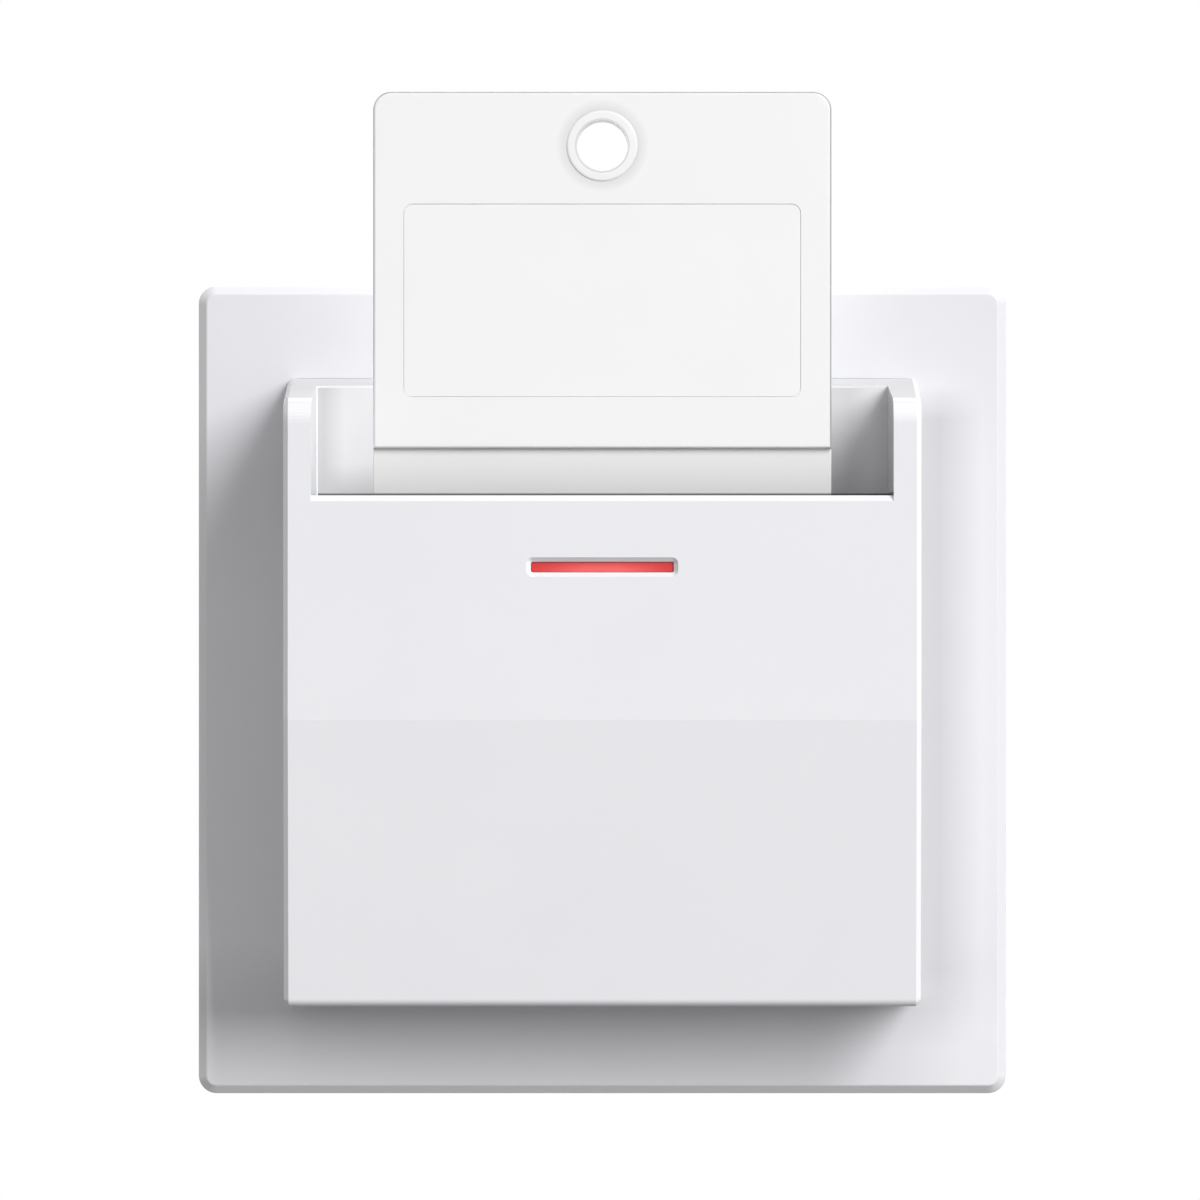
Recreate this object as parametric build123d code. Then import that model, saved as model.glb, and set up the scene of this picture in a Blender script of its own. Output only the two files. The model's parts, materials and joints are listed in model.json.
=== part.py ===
from build123d import *
import os
from math import ceil, cos, pi, radians, sin, sqrt, tan

# Hotel key card switch for a round flush box, in millimetres.
# X runs to the right, Y runs into the wall and Z runs up. The origin lies on
# the wall at the middle of the frame, halfway between the yoke's fixing slots.
# The card stands in its slot, so the lever is pressed and the contact closed.

# Clearances shared by the pieces
overrun = 1.0
cover_gap = 0.3
slip = 0.2
card_slip = 0.3
seat_gap = 0.05
pin_slip = 0.05
thread_slip = 0.05

# Frame
frame_side = 81.0
frame_depth = 9.5
frame_wall = 1.8
frame_skin = 2.0
frame_bevel = 0.87
frame_corner = 1.8
frame_inner_corner = 1.0
collar_wall = 1.4
window_corner = 1.0
rib_wall = 1.2
rib_depth = 4.0
rib_spacing = 24.0
peg_offset = 20.0
peg_width = 7.6
peg_wall = 1.6

# Yoke
yoke_side = 71.0
yoke_wall = 1.2
yoke_corner = 3.0
yoke_opening_gap = 0.3
yoke_opening_corner = 1.5
fixing_spacing = 60.0
fixing_slot_length = 8.0
fixing_slot_width = 4.0
fixing_head_room = 10.0
fixing_head_depth = 3.4
notch_depth = 2.0

# Cover
cover_width = 63.0
cover_draft = 0.5
cover_top = 31.2
cover_top_slope = 10.0
cover_foot = 31.1
cover_toe = 30.66
cover_projection = 16.0
cover_set_back = 2.5
crease_drop = 2.65
shoulder_radius = 2.6
toe_radius = 0.8
cover_edge = 0.46
cover_wall = 1.8
front_wall = 2.0
skirt_end = 3.0
pocket_width = 56.6
pocket_depth = 10.5
pocket_sill = 18.6
sill_bevel = 0.57
pocket_root = 15.4
front_rib_wall = 1.4
front_rib_places = (14.0, 23.0)
front_rib_gap = 0.3
front_rib_top = 14.4
front_rib_foot = 24.0

# Indicator window and its lens
window_height = 12.2
window_width = 13.9
window_tall = 1.04
window_bevel = 0.43
window_round = 0.2
lens_sink = 0.62
lens_flange_width = 17.2
lens_flange_height = 4.0
lens_flange_wall = 1.2
lens_flange_corner = 0.9

# Key card
card_width = 44.9
card_corner = 1.8
card_rest = 1.4
card_top = 58.8
blade_room = 3.0
blade_wall = 1.0
blade_corner = 2.0
neck_width = 39.0
neck_length = 14.0
neck_slip = 0.03
grip_foot = 24.0
grip_wall = 2.4
grip_edge = 0.3
ring_height = 53.5
ring_hole_radius = 2.5
ring_radius = 3.5
ring_rise = 0.4
ring_edge = 0.3
label_width = 38.9
label_height = 18.9
label_middle = 38.35
label_corner = 0.9
label_sink = 0.3
label_wall = 0.15
label_slip = 0.08

# Card guide
guide_wall = 1.6
guide_foot_gap = 1.1
rail_inset = 0.1
rail_wall = 1.6
rail_lead = 0.5
back_rib_places = (11.6, 20.0)
back_rib_wall = 1.4
back_rib_top = 13.0
back_rib_lead = 2.5
post_radius = 3.5
post_room = 0.6
post_upper = 10.5
post_lower = 19.0
post_pin_radius = 1.4
clip_reach = 0.9
clip_height = 5.0
clip_places = (2.0, -20.0)
lamp_slot_width = 14.8
lamp_slot_height = 4.0
lug_inner = 8.8
lug_wall = 1.6
lug_round = 2.6
lug_rise = 4.8
spring_stop_radius = 0.7
spring_stop_rise = 4.6

# Guide screws
guide_screw_radius = 1.5
guide_screw_head_radius = 2.7
guide_screw_head = 2.0
guide_screw_sink = 0.4
recess_width = 0.8
recess_depth = 0.9
recess_share = 0.62

# Leaf springs behind the card
leaf_place = 16.0
leaf_width = 4.4
leaf_wall = 0.4
leaf_bow = 8.8
leaf_crest = 1.6
leaf_foot = 3.0
leaf_round = 2.0

# Lever
lever_axis_inset = 1.6
lever_axis_drop = 4.0
lever_half = 3.5
lever_pin_radius = 1.0
lever_hub_radius = 2.2
arm_wall = 2.4
arm_gap = 0.8
nose_top = 18.0
nose_cam = 22.0
nose_tip = 24.8
nose_foot = 25.6
nose_heel = 1.7
nose_round = 0.8
lever_window_half = 4.2
lever_window_top = 8.8
lever_window_foot = 26.2
pad_radius = 2.4
pad_rise = 0.8
peg_reach = 1.1
peg_top = 9.4
peg_height = 1.7

# Lever spring
lever_wire_radius = 0.25
lever_coil_radius = 1.7
lever_coil_start = 4.1
lever_coil_pitch = 0.98
lever_coil_turns = 4
lever_leg = 7.0

# Switch cap
cap_step = 1.3
cap_gap = 0.5
cap_wall = 1.8
cap_corner = 1.2
flange_side_rim = 0.2
flange_end_rim = 0.6
flange_wall = 1.6
cap_screw_place = 13.5
cap_screw_height = 16.2
cap_screw_radius = 1.1
cap_screw_head_radius = 2.4
cap_screw_head = 1.6
cap_screw_reach = 4.0
cap_boss_radius = 2.4
board_post_radius = 1.5
board_post_place = 8.5
board_post_height = 10.6
plunger_boss_radius = 3.3
plunger_boss_rise = 0.9

# Plunger
plunger_drop = 13.0
plunger_radius = 2.0
plunger_slip = 0.06
plunger_flange_radius = 3.2
plunger_flange = 1.0
plunger_flange_depth = 4.6
plunger_tip_round = 0.5

# Switch base
base_half_width = 20.0
base_half_height = 22.0
base_depth = 21.0
base_wall = 1.8
base_chamfer = 2.5
tower_half = 5.0
tower_inner = 9.2
tower_depth = 11.0
well_half = 3.8
well_floor = 12.8
terminal_centre = 14.2
entry_half = 2.6
line_place = 0.0
load_place = -9.0
neutral_place = 9.0
slit_half = 1.6

# Contacts
blade_contact_wall = 0.8
blade_contact_half = 3.0
blade_contact_depth = 1.5
blade_contact_foot = 17.8
eye_radius = 1.5
contact_pin_radius = 0.8
contact_pin_height = 10.0
contact_pin_reach = 4.3
tip_radius = 1.7
tip_wall = 0.9
tip_drop = 16.0
spring_seat_drop = 5.0
spring_seat_radius = 3.0
spring_seat_depth = 5.0
spring_nose_radius = 1.3
spring_nose_rise = 2.4
contact_wire_radius = 0.25
contact_coil_radius = 1.95
contact_coil_turns = 5

# Terminals
strip_wall = 1.0
strip_half = 1.5
plate_wall = 1.2
ear_wall = 1.0
ear_slip = 0.2
bridge_depth = 0.6
riser_inner = 7.6
contact_pad_half = 1.9
arm_reach = 14.0
arm_half = 1.5
terminal_screw_radius = 1.7
terminal_screw_head_radius = 3.1
terminal_screw_head = 2.2
terminal_screw_tail = 4.5
clamp_wall = 1.2
clamp_half = 3.4
wire_gap = 1.2

# Indicator lamp board
board_margin = 2.1
board_low = 8.4
board_high = 13.8
board_wall = 1.2
board_lift = 1.4
led_radius = 1.5
led_length = 2.2
led_rim = 0.25
led_rim_wall = 0.7
resistor_radius = 0.9
resistor_length = 4.4
resistor_place = -5.4
resistor_height = 9.6
resistor_lead_radius = 0.3
resistor_lead_spread = 1.3
lamp_pin_radius = 0.5
lamp_pin_room = 5.7
lamp_pin_height = 10.2
lamp_pin_rise = 0.6

# Claws, their pins, nuts and screws
claw_axis_reach = 2.1
claw_axis_depth = 6.0
claw_middle = -8.0
claw_half = 3.5
claw_wall = 1.2
claw_eye_radius = 1.6
claw_pin_radius = 1.0
claw_arm_gap = 0.5
claw_arm_depth = 20.6
claw_bite = 2.2
claw_tooth = 1.0
claw_fork_margin = 1.8
claw_slot_near = 4.2
claw_slot_far = 8.6
claw_lug_wall = 1.2
claw_lug_slip = 0.2
claw_lug_reach = 1.8
claw_screw_reach = 3.7
claw_screw_radius = 1.5
claw_screw_slip = 0.2
claw_screw_head_radius = 2.75
claw_screw_head = 2.2
claw_screw_end = 12.0
claw_nut_radius = 2.1
claw_nut_half = 2.8

# Planes and places that several pieces share
face_y = -frame_depth
front_y = face_y - cover_projection
pocket_y = front_y + pocket_depth
guide_back_y = pocket_y + guide_wall
inner_front_y = front_y + front_wall
blade_front = -inner_front_y - blade_room
blade_back_y = -blade_front + blade_wall
front_rib_end = blade_front + front_rib_gap
rail_front = blade_front + rail_lead
cover_half = cover_width / 2
cover_inner = cover_half - cover_draft - cover_wall
pocket_half = pocket_width / 2
guide_half = cover_inner - slip
rail_outer = guide_half - rail_inset
rail_inner = rail_outer - rail_wall
post_place = rail_inner - guide_screw_head_radius - post_room
guide_foot = cover_foot - cover_wall - guide_foot_gap
card_foot = guide_foot - card_rest
guide_top = pocket_root - slip
rail_top = guide_top - slip
window_half = cover_half + cover_gap
window_top = cover_top + cover_gap
window_foot = cover_foot + cover_gap
peg_outer = yoke_side / 2 - slip
arm_front = -guide_back_y - arm_gap
lever_axis_depth = arm_front - lever_axis_inset
pivot_y = -lever_axis_depth
pivot_z = -lever_axis_drop
pad_front = arm_front - arm_wall - pad_rise
cap_front = pad_front - cap_gap - plunger_boss_rise
cap_half_width = base_half_width - cap_step
cap_half_height = base_half_height - cap_step
flange_half_width = base_half_width + flange_side_rim
flange_half_height = base_half_height + flange_end_rim
yoke_opening_width = 2 * (cap_half_width + yoke_opening_gap)
yoke_opening_height = 2 * (cap_half_height + yoke_opening_gap)
cap_inner_y = -cap_front + cap_wall
base_back = base_depth - base_wall
lamp_pin_place = base_half_width - base_wall - lamp_pin_room
board_half_width = lamp_pin_place + board_margin
claw_axis_place = base_half_width + claw_axis_reach
claw_arm_inner = base_half_width + claw_arm_gap
claw_screw_place = claw_axis_place + claw_screw_reach
claw_fork_end = claw_screw_place + claw_fork_margin
contact_y = -blade_contact_depth
blade_contact_back = contact_y + blade_contact_wall / 2
fixed_tip_y = blade_contact_back + tip_wall + seat_gap
strip_y = fixed_tip_y + tip_wall
terminal_places = {"line": line_place, "load": load_place, "neutral": neutral_place}


def block(x0, x1, y0, y1, z0, z1):
    """A box between six planes."""
    middle = Pos((x0 + x1) / 2, (y0 + y1) / 2, (z0 + z1) / 2)
    return middle * Box(x1 - x0, y1 - y0, z1 - z0)


def rod_x(radius, x0, x1, y, z):
    """A round bar along X."""
    return Pos((x0 + x1) / 2, y, z) * Rot(0, 90, 0) * Cylinder(radius, x1 - x0)


def rod_y(radius, y0, y1, x, z):
    """A round bar along Y."""
    return Pos(x, (y0 + y1) / 2, z) * Rot(90, 0, 0) * Cylinder(radius, y1 - y0)


def rod_z(radius, z0, z1, x, y):
    """A round bar along Z."""
    return Pos(x, y, (z0 + z1) / 2) * Cylinder(radius, z1 - z0)


def front_shape(sketch, y0, y1):
    """A sketch in X and Z, made solid from y0 to y1."""
    return extrude(Plane(origin=(0, y1, 0), x_dir=(1, 0, 0), z_dir=(0, -1, 0)) * sketch, y1 - y0)


def side_shape(sketch, x0, x1):
    """A sketch in Y and Z, made solid from x0 to x1."""
    return extrude(Plane(origin=(x0, 0, 0), x_dir=(0, 1, 0), z_dir=(1, 0, 0)) * sketch, x1 - x0)


def plan_shape(sketch, z0, z1):
    """A sketch in X and Y, made solid from z0 to z1."""
    return extrude(Plane(origin=(0, 0, z0)) * sketch, z1 - z0)


def polygon(*points):
    """A flat face through the given corners."""
    return make_face(Polyline(*points, close=True))


def both_sides(solid):
    """A solid and its mirror image across the middle of the switch."""
    return solid + mirror(solid, about=Plane.YZ)


def cross_recess(radius, y0, depth, x, z):
    """The cross that a driver fits, cut into a head from the plane y0."""
    reach = radius * recess_share
    upright = block(x - recess_width / 2, x + recess_width / 2, y0, y0 + depth, z - reach, z + reach)
    level = block(x - reach, x + reach, y0, y0 + depth, z - recess_width / 2, z + recess_width / 2)
    return upright + level


def coil_line(point, slope, turns):
    """Arcs that follow a coil, two to each quarter turn and smooth at every joint."""
    edges = []
    for step in range(4 * turns):
        start = Vector(*point(step / 4))
        end = Vector(*point((step + 1) / 4))
        leave = Vector(*slope(step / 4)).normalized()
        arrive = Vector(*slope((step + 1) / 4)).normalized()
        span = end - start
        both = leave + arrive
        spare = 4 - both.dot(both)
        along = span.dot(both)
        reach = (sqrt(along * along + spare * span.dot(span)) - along) / spare
        first = start + leave * reach
        second = end - arrive * reach
        joint = (first + second) / 2
        edges.append(TangentArc(start, joint, tangent=leave))
        edges.append(TangentArc(joint, end, tangent=second - first))
    return edges


def wire_along(edges, radius, start, direction):
    """A round wire swept along joined edges."""
    section = Plane(origin=start, z_dir=direction) * Circle(radius)
    return sweep(section, path=Wire(edges))


# Frame and yoke


def frame_ribs():
    """Stiffening ribs between the frame's collar and its outer wall."""
    ribs = Part()
    back = face_y + frame_skin + rib_depth
    outer = frame_side / 2 - frame_wall / 2
    inner = window_half + collar_wall / 2
    for place in (-rib_spacing, 0, rib_spacing):
        level = block(inner, outer, face_y + frame_skin / 2, back, place - rib_wall / 2, place + rib_wall / 2)
        upright = block(place - rib_wall / 2, place + rib_wall / 2, face_y + frame_skin / 2, back, inner, outer)
        ribs += both_sides(level) + upright + mirror(upright, about=Plane.XY)
    return ribs


def screw_relief(back_y, depth, reach):
    """Room for the heads of the box screws, at all four fixing slots."""
    half = fixing_head_room / 2
    level = block(-reach, reach, back_y - depth, back_y + overrun, -half, half)
    upright = block(-half, half, back_y - depth, back_y + overrun, -reach, reach)
    return level + upright


def decorative_frame():
    """The square plate that trims the wall, with its window and collar."""
    body = front_shape(RectangleRounded(frame_side, frame_side, frame_corner), face_y, 0)
    body = chamfer(body.faces().sort_by(Axis.Y)[0].edges(), frame_bevel)
    inside = frame_side - 2 * frame_wall
    hollow = RectangleRounded(inside, inside, frame_inner_corner)
    body -= front_shape(hollow, face_y + frame_skin, overrun)
    middle = Pos(0, (window_top - window_foot) / 2)
    tall = window_top + window_foot
    opening = middle * RectangleRounded(2 * window_half, tall, window_corner)
    thick = 2 * collar_wall
    rim = middle * RectangleRounded(2 * window_half + thick, tall + thick, window_corner + collar_wall)
    collar = front_shape(rim, face_y + frame_skin / 2, -yoke_wall)
    collar -= screw_relief(-yoke_wall, fixing_head_depth, frame_side)
    body += collar + frame_ribs()
    for x in (-peg_offset, peg_offset):
        peg = block(x - peg_width / 2, x + peg_width / 2, face_y + frame_skin / 2, -slip,
                    peg_outer - peg_wall, peg_outer)
        body += peg + mirror(peg, about=Plane.XY)
    return body - front_shape(opening, face_y - overrun, overrun)


def mounting_yoke():
    """The flat steel yoke that screws to the box."""
    sheet = RectangleRounded(yoke_side, yoke_side, yoke_corner)
    sheet -= RectangleRounded(yoke_opening_width, yoke_opening_height, yoke_opening_corner)
    slot = SlotOverall(fixing_slot_length, fixing_slot_width)
    upright_slot = SlotOverall(fixing_slot_length, fixing_slot_width, rotation=90)
    reach = fixing_spacing / 2
    for sign in (-1, 1):
        sheet -= Pos(sign * reach, 0) * slot
        sheet -= Pos(0, sign * reach) * upright_slot
        sheet -= Pos(sign * claw_screw_place, claw_middle) * Circle(claw_screw_radius + claw_screw_slip)
        sheet -= Pos(sign * post_place, post_upper) * Circle(guide_screw_radius + thread_slip)
        sheet -= Pos(sign * post_place, -post_lower) * Circle(post_pin_radius + pin_slip)
        for edge in (-1, 1):
            notch = Rectangle(peg_width + 2 * slip, 2 * notch_depth)
            sheet -= Pos(sign * peg_offset, edge * yoke_side / 2) * notch
    return front_shape(sheet, -yoke_wall, 0)


# Cover and indicator lens


def cover_outside():
    """The outer form of the cover, from its skirt in the frame to its front."""
    fall = tan(radians(cover_top_slope)) * cover_projection
    points = [
        (face_y, cover_top),
        (front_y, cover_top - fall),
        (front_y, -crease_drop),
        (front_y + cover_set_back, -cover_toe),
        (face_y, -cover_foot),
    ]
    radii = [0, shoulder_radius, 0, toe_radius, 0]
    profile = make_face(FilletPolyline(*points, radius=radii, close=True))
    body = side_shape(profile, -cover_half, cover_half)
    plan = polygon(
        (cover_half, face_y),
        (cover_half - cover_draft, front_y),
        (cover_draft - cover_half, front_y),
        (-cover_half, face_y),
    )
    body = body & plan_shape(plan, -cover_foot, cover_top)
    reach = cover_half - cover_draft - cover_edge / 2
    front = [edge for edge in body.edges() if edge.center().Y < face_y - seat_gap]
    edges = [edge for edge in front if abs(edge.center().X) > reach]
    body = chamfer(edges, cover_edge)
    skirt = Pos(0, (cover_top - cover_foot) / 2) * Rectangle(cover_width, cover_top + cover_foot)
    skirt = chamfer(skirt.vertices(), cover_edge)
    return body + front_shape(skirt, face_y, -skirt_end)


def slope_y(z):
    """Where the inner face of the front wall lies below the crease."""
    lean = cover_set_back / (cover_toe - crease_drop)
    return inner_front_y + (-crease_drop - z) * lean


def cover_hollow():
    """The room inside the cover, behind the front wall and behind the pocket."""
    foot = -cover_foot + cover_wall
    lower = polygon(
        (-skirt_end + overrun, foot),
        (slope_y(foot), foot),
        (inner_front_y, -crease_drop),
        (inner_front_y, pocket_root),
        (-skirt_end + overrun, pocket_root),
    )
    wall_y = pocket_y + cover_wall
    fall = tan(radians(cover_top_slope)) * (face_y - wall_y)
    upper = polygon(
        (-skirt_end + overrun, pocket_root - overrun),
        (wall_y, pocket_root - overrun),
        (wall_y, cover_top - cover_wall - fall),
        (face_y, cover_top - cover_wall),
        (-skirt_end + overrun, cover_top - cover_wall),
    )
    return side_shape(lower, -cover_inner, cover_inner) + side_shape(upper, -cover_inner, cover_inner)


def front_ribs():
    """Upright ribs behind the front wall, which the card slides against."""
    ribs = Part()
    for place in front_rib_places:
        profile = polygon(
            (slope_y(-front_rib_foot) - front_wall / 2, -front_rib_foot),
            (inner_front_y - front_wall / 2, -crease_drop),
            (inner_front_y - front_wall / 2, front_rib_top),
            (inner_front_y + slip, front_rib_top),
            (-front_rib_end, front_rib_top - back_rib_lead),
            (-front_rib_end, -front_rib_foot),
        )
        ribs += both_sides(side_shape(profile, place - front_rib_wall / 2, place + front_rib_wall / 2))
    return ribs


def front_cover():
    """The cover with its open pocket for the card."""
    body = cover_outside()
    high = cover_top + overrun
    body -= cover_hollow()
    body += front_ribs()
    body -= block(-pocket_half, pocket_half, front_y - overrun, pocket_y, pocket_sill, high)
    body -= block(-pocket_half, pocket_half, inner_front_y, pocket_y, pocket_root - overrun, pocket_sill + overrun)
    bevel = polygon(
        (front_y - overrun, pocket_sill + overrun),
        (front_y + sill_bevel, pocket_sill + overrun),
        (front_y + sill_bevel, pocket_sill),
        (front_y, pocket_sill - sill_bevel),
        (front_y - overrun, pocket_sill - sill_bevel),
    )
    body -= side_shape(bevel, -pocket_half, pocket_half)
    slot = Pos(0, window_height) * RectangleRounded(window_width, window_tall, window_round)
    mouth = Pos(0, window_height) * RectangleRounded(
        window_width + 2 * window_bevel, window_tall + 2 * window_bevel, window_round + window_bevel)
    body -= front_shape(slot, front_y - overrun, inner_front_y + overrun)
    flat = Plane(origin=(0, front_y, 0), x_dir=(1, 0, 0), z_dir=(0, -1, 0))
    deep = Plane(origin=(0, front_y + window_bevel, 0), x_dir=(1, 0, 0), z_dir=(0, -1, 0))
    body -= loft([(deep * slot).face(), (flat * mouth).face()])
    for z in clip_places:
        pit = block(cover_inner - overrun, guide_half + clip_reach + slip, pocket_y - slip, guide_back_y + slip,
                    z - clip_height / 2 - slip, z + clip_height / 2 + slip)
        body -= both_sides(pit)
    return body - screw_relief(-skirt_end, fixing_head_depth + yoke_wall - skirt_end, frame_side)


def indicator_lens():
    """The red light window, held by a flange behind the front wall."""
    snug = Pos(0, window_height) * RectangleRounded(
        window_width - 2 * seat_gap, window_tall - 2 * seat_gap, window_round)
    flange = Pos(0, window_height) * RectangleRounded(lens_flange_width, lens_flange_height, lens_flange_corner)
    body = front_shape(snug, front_y + lens_sink, inner_front_y + lens_flange_wall / 2)
    return body + front_shape(flange, inner_front_y, inner_front_y + lens_flange_wall)


# Key card


def card_blade():
    """The thin part of the card that enters the slot, with its neck in the grip."""
    tall = card_foot + grip_foot
    sheet = Pos(0, (grip_foot - card_foot) / 2) * Rectangle(card_width, tall)
    sheet = fillet(sheet.vertices().group_by(Axis.Y)[0], blade_corner)
    sheet += Pos(0, grip_foot + neck_length / 2 - overrun / 2) * Rectangle(neck_width, neck_length + overrun)
    return front_shape(sheet, -blade_front, blade_back_y)


def card_grip():
    """The thick end of the card, with a ringed hole and a label recess."""
    middle_y = -blade_front + blade_wall / 2
    grip_front = middle_y - grip_wall / 2
    grip_back = middle_y + grip_wall / 2
    tall = card_top - grip_foot
    sheet = Pos(0, (card_top + grip_foot) / 2) * Rectangle(card_width, tall)
    sheet = fillet(sheet.vertices().group_by(Axis.Y)[-1], card_corner)
    body = front_shape(sheet, grip_front, grip_back)
    faces = body.faces().sort_by(Axis.Y)
    body = fillet(faces[0].edges() + faces[-1].edges(), grip_edge)
    ring = rod_y(ring_radius, grip_front - ring_rise, grip_back + ring_rise, 0, ring_height)
    ring = fillet(ring.edges().filter_by(GeomType.CIRCLE), ring_edge)
    body += ring
    body -= rod_y(ring_hole_radius, grip_front - overrun, grip_back + overrun, 0, ring_height)
    recess = Pos(0, label_middle) * RectangleRounded(label_width, label_height, label_corner)
    body -= front_shape(recess, grip_front - overrun, grip_front + label_sink)
    half = neck_width / 2 + neck_slip
    body -= block(-half, half, -blade_front - neck_slip, blade_back_y + neck_slip,
                  grip_foot - overrun, grip_foot + neck_length + neck_slip)
    return body


def card_label():
    """The plain writing label in the recess of the grip."""
    floor = -blade_front + blade_wall / 2 - grip_wall / 2 + label_sink
    width = label_width - 2 * label_slip
    height = label_height - 2 * label_slip
    sheet = Pos(0, label_middle) * RectangleRounded(width, height, label_corner - label_slip)
    return front_shape(sheet, floor - label_wall, floor)


# Card guide with its screws and springs


def guide_lugs():
    """Two lugs behind the guide that hold the lever's pin, and the spring's stop."""
    top = pivot_z + lug_rise
    foot = pivot_z - lug_round
    lug = block(lug_inner, lug_inner + lug_wall, guide_back_y - guide_wall / 2, pivot_y, foot, top)
    lug += rod_x(lug_round, lug_inner, lug_inner + lug_wall, pivot_y, pivot_z)
    lugs = both_sides(lug)
    stop_y = pivot_y + lever_coil_radius - lever_wire_radius - spring_stop_radius - seat_gap
    stop_x = lever_coil_start + lever_coil_pitch * lever_coil_turns - 2 * lever_wire_radius
    stop = rod_x(spring_stop_radius, stop_x, lug_inner + lug_wall / 2, stop_y, pivot_z + spring_stop_rise)
    web = block(lug_inner, lug_inner + lug_wall, pivot_y, stop_y, pivot_z, top)
    return lugs + stop + web


def card_guide():
    """The inner carrier behind the cover: it guides the card and holds the lever."""
    body = block(-guide_half, guide_half, pocket_y, guide_back_y, -guide_foot, guide_top)
    body += block(-rail_outer, rail_outer, -rail_front + slip, pocket_y + guide_wall / 2, -guide_foot, -card_foot)
    rail = block(rail_inner, rail_outer, -rail_front, pocket_y + guide_wall / 2, -guide_foot, rail_top)
    body += both_sides(rail)
    rib_front = blade_back_y + card_slip
    for place in back_rib_places:
        profile = polygon(
            (pocket_y + guide_wall / 2, -guide_foot),
            (rib_front, -guide_foot),
            (rib_front, back_rib_top - back_rib_lead),
            (rib_front + back_rib_lead, back_rib_top),
            (pocket_y + guide_wall / 2, back_rib_top),
        )
        body += both_sides(side_shape(profile, place - back_rib_wall / 2, place + back_rib_wall / 2))
    for z in clip_places:
        clip = block(guide_half - overrun, guide_half + clip_reach, pocket_y, guide_back_y,
                     z - clip_height / 2, z + clip_height / 2)
        body += both_sides(clip)
    post = rod_y(post_radius, pocket_y + guide_wall / 2, -yoke_wall, post_place, post_upper)
    foot = rod_y(post_radius, pocket_y + guide_wall / 2, -yoke_wall, post_place, -post_lower)
    foot += rod_y(post_pin_radius, -yoke_wall - overrun, -slip, post_place, -post_lower)
    sink = guide_screw_sink + guide_screw_head
    body += both_sides(post + foot) + guide_lugs()
    body -= both_sides(rod_y(guide_screw_head_radius + slip, pocket_y - overrun, pocket_y + sink,
                             post_place, post_upper))
    body -= both_sides(rod_y(guide_screw_radius + slip, pocket_y, 0, post_place, post_upper))
    cut_back = guide_back_y + slip
    body -= block(-lever_window_half, lever_window_half, pocket_y - overrun, cut_back,
                  -lever_window_foot, -lever_window_top)
    body -= block(-lamp_slot_width / 2, lamp_slot_width / 2, pocket_y - overrun, cut_back,
                  window_height - lamp_slot_height / 2, window_height + lamp_slot_height / 2)
    leaf_half = leaf_width / 2 + slip
    leaf_reach = leaf_bow + leaf_round / 2
    body -= both_sides(block(leaf_place - leaf_half, leaf_place + leaf_half, pocket_y - overrun, cut_back,
                             -leaf_reach, leaf_reach))
    body -= rod_x(lever_pin_radius, -lug_inner - 2 * lug_wall, lug_inner + 2 * lug_wall, pivot_y, pivot_z)
    return body


def guide_screws():
    """The two screws that hold the card guide to the yoke."""
    screws = Part()
    head_y = pocket_y + guide_screw_sink
    for x in (-post_place, post_place):
        screw = rod_y(guide_screw_head_radius, head_y, head_y + guide_screw_head, x, post_upper)
        screw += rod_y(guide_screw_radius, head_y + guide_screw_head / 2, -slip, x, post_upper)
        screws += screw - cross_recess(guide_screw_head_radius, head_y, recess_depth, x, post_upper)
    return screws


def leaf_springs():
    """Two bowed leaf springs that steady the card from behind."""
    foot_y = guide_back_y + leaf_wall / 2
    crest_y = blade_back_y + card_slip + leaf_wall / 2
    line = FilletPolyline(
        (foot_y, leaf_bow + leaf_foot),
        (foot_y, leaf_bow),
        (crest_y, leaf_crest),
        (crest_y, -leaf_crest),
        (foot_y, -leaf_bow),
        (foot_y, -leaf_bow - leaf_foot),
        radius=leaf_round,
    )
    strip = side_shape(trace(line, leaf_wall), leaf_place - leaf_width / 2, leaf_place + leaf_width / 2)
    return both_sides(strip)


# Lever with its pin and spring


def card_lever():
    """The lever that the card presses back, which works the plunger."""
    arm_back = -arm_front + arm_wall
    nose_y = blade_back_y + card_slip
    points = [
        (-arm_front, pivot_z),
        (arm_back, pivot_z),
        (arm_back, -nose_foot),
        (nose_y + nose_heel, -nose_foot),
        (nose_y, -nose_tip),
        (nose_y, -nose_cam),
        (-arm_front, -nose_top),
    ]
    radii = [0, 0, nose_round, 0, nose_round, nose_round, 0]
    body = side_shape(make_face(FilletPolyline(*points, radius=radii, close=True)), -lever_half, lever_half)
    body += rod_x(lever_hub_radius, -lever_half, lever_half, pivot_y, pivot_z)
    body += rod_y(pad_radius, arm_back - overrun, -pad_front, 0, -plunger_drop)
    peg_back = pivot_y + lever_coil_radius - lever_wire_radius - seat_gap
    body += block(lever_half - overrun, lever_half + peg_reach, -arm_front + slip, peg_back,
                  -peg_top - peg_height, -peg_top)
    return body - rod_x(lever_pin_radius + pin_slip, -lever_half - overrun, lever_half + overrun, pivot_y, pivot_z)


def lever_pin():
    """The steel pin that the lever turns on."""
    reach = lug_inner + lug_wall
    return rod_x(lever_pin_radius, -reach, reach, pivot_y, pivot_z)


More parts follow.
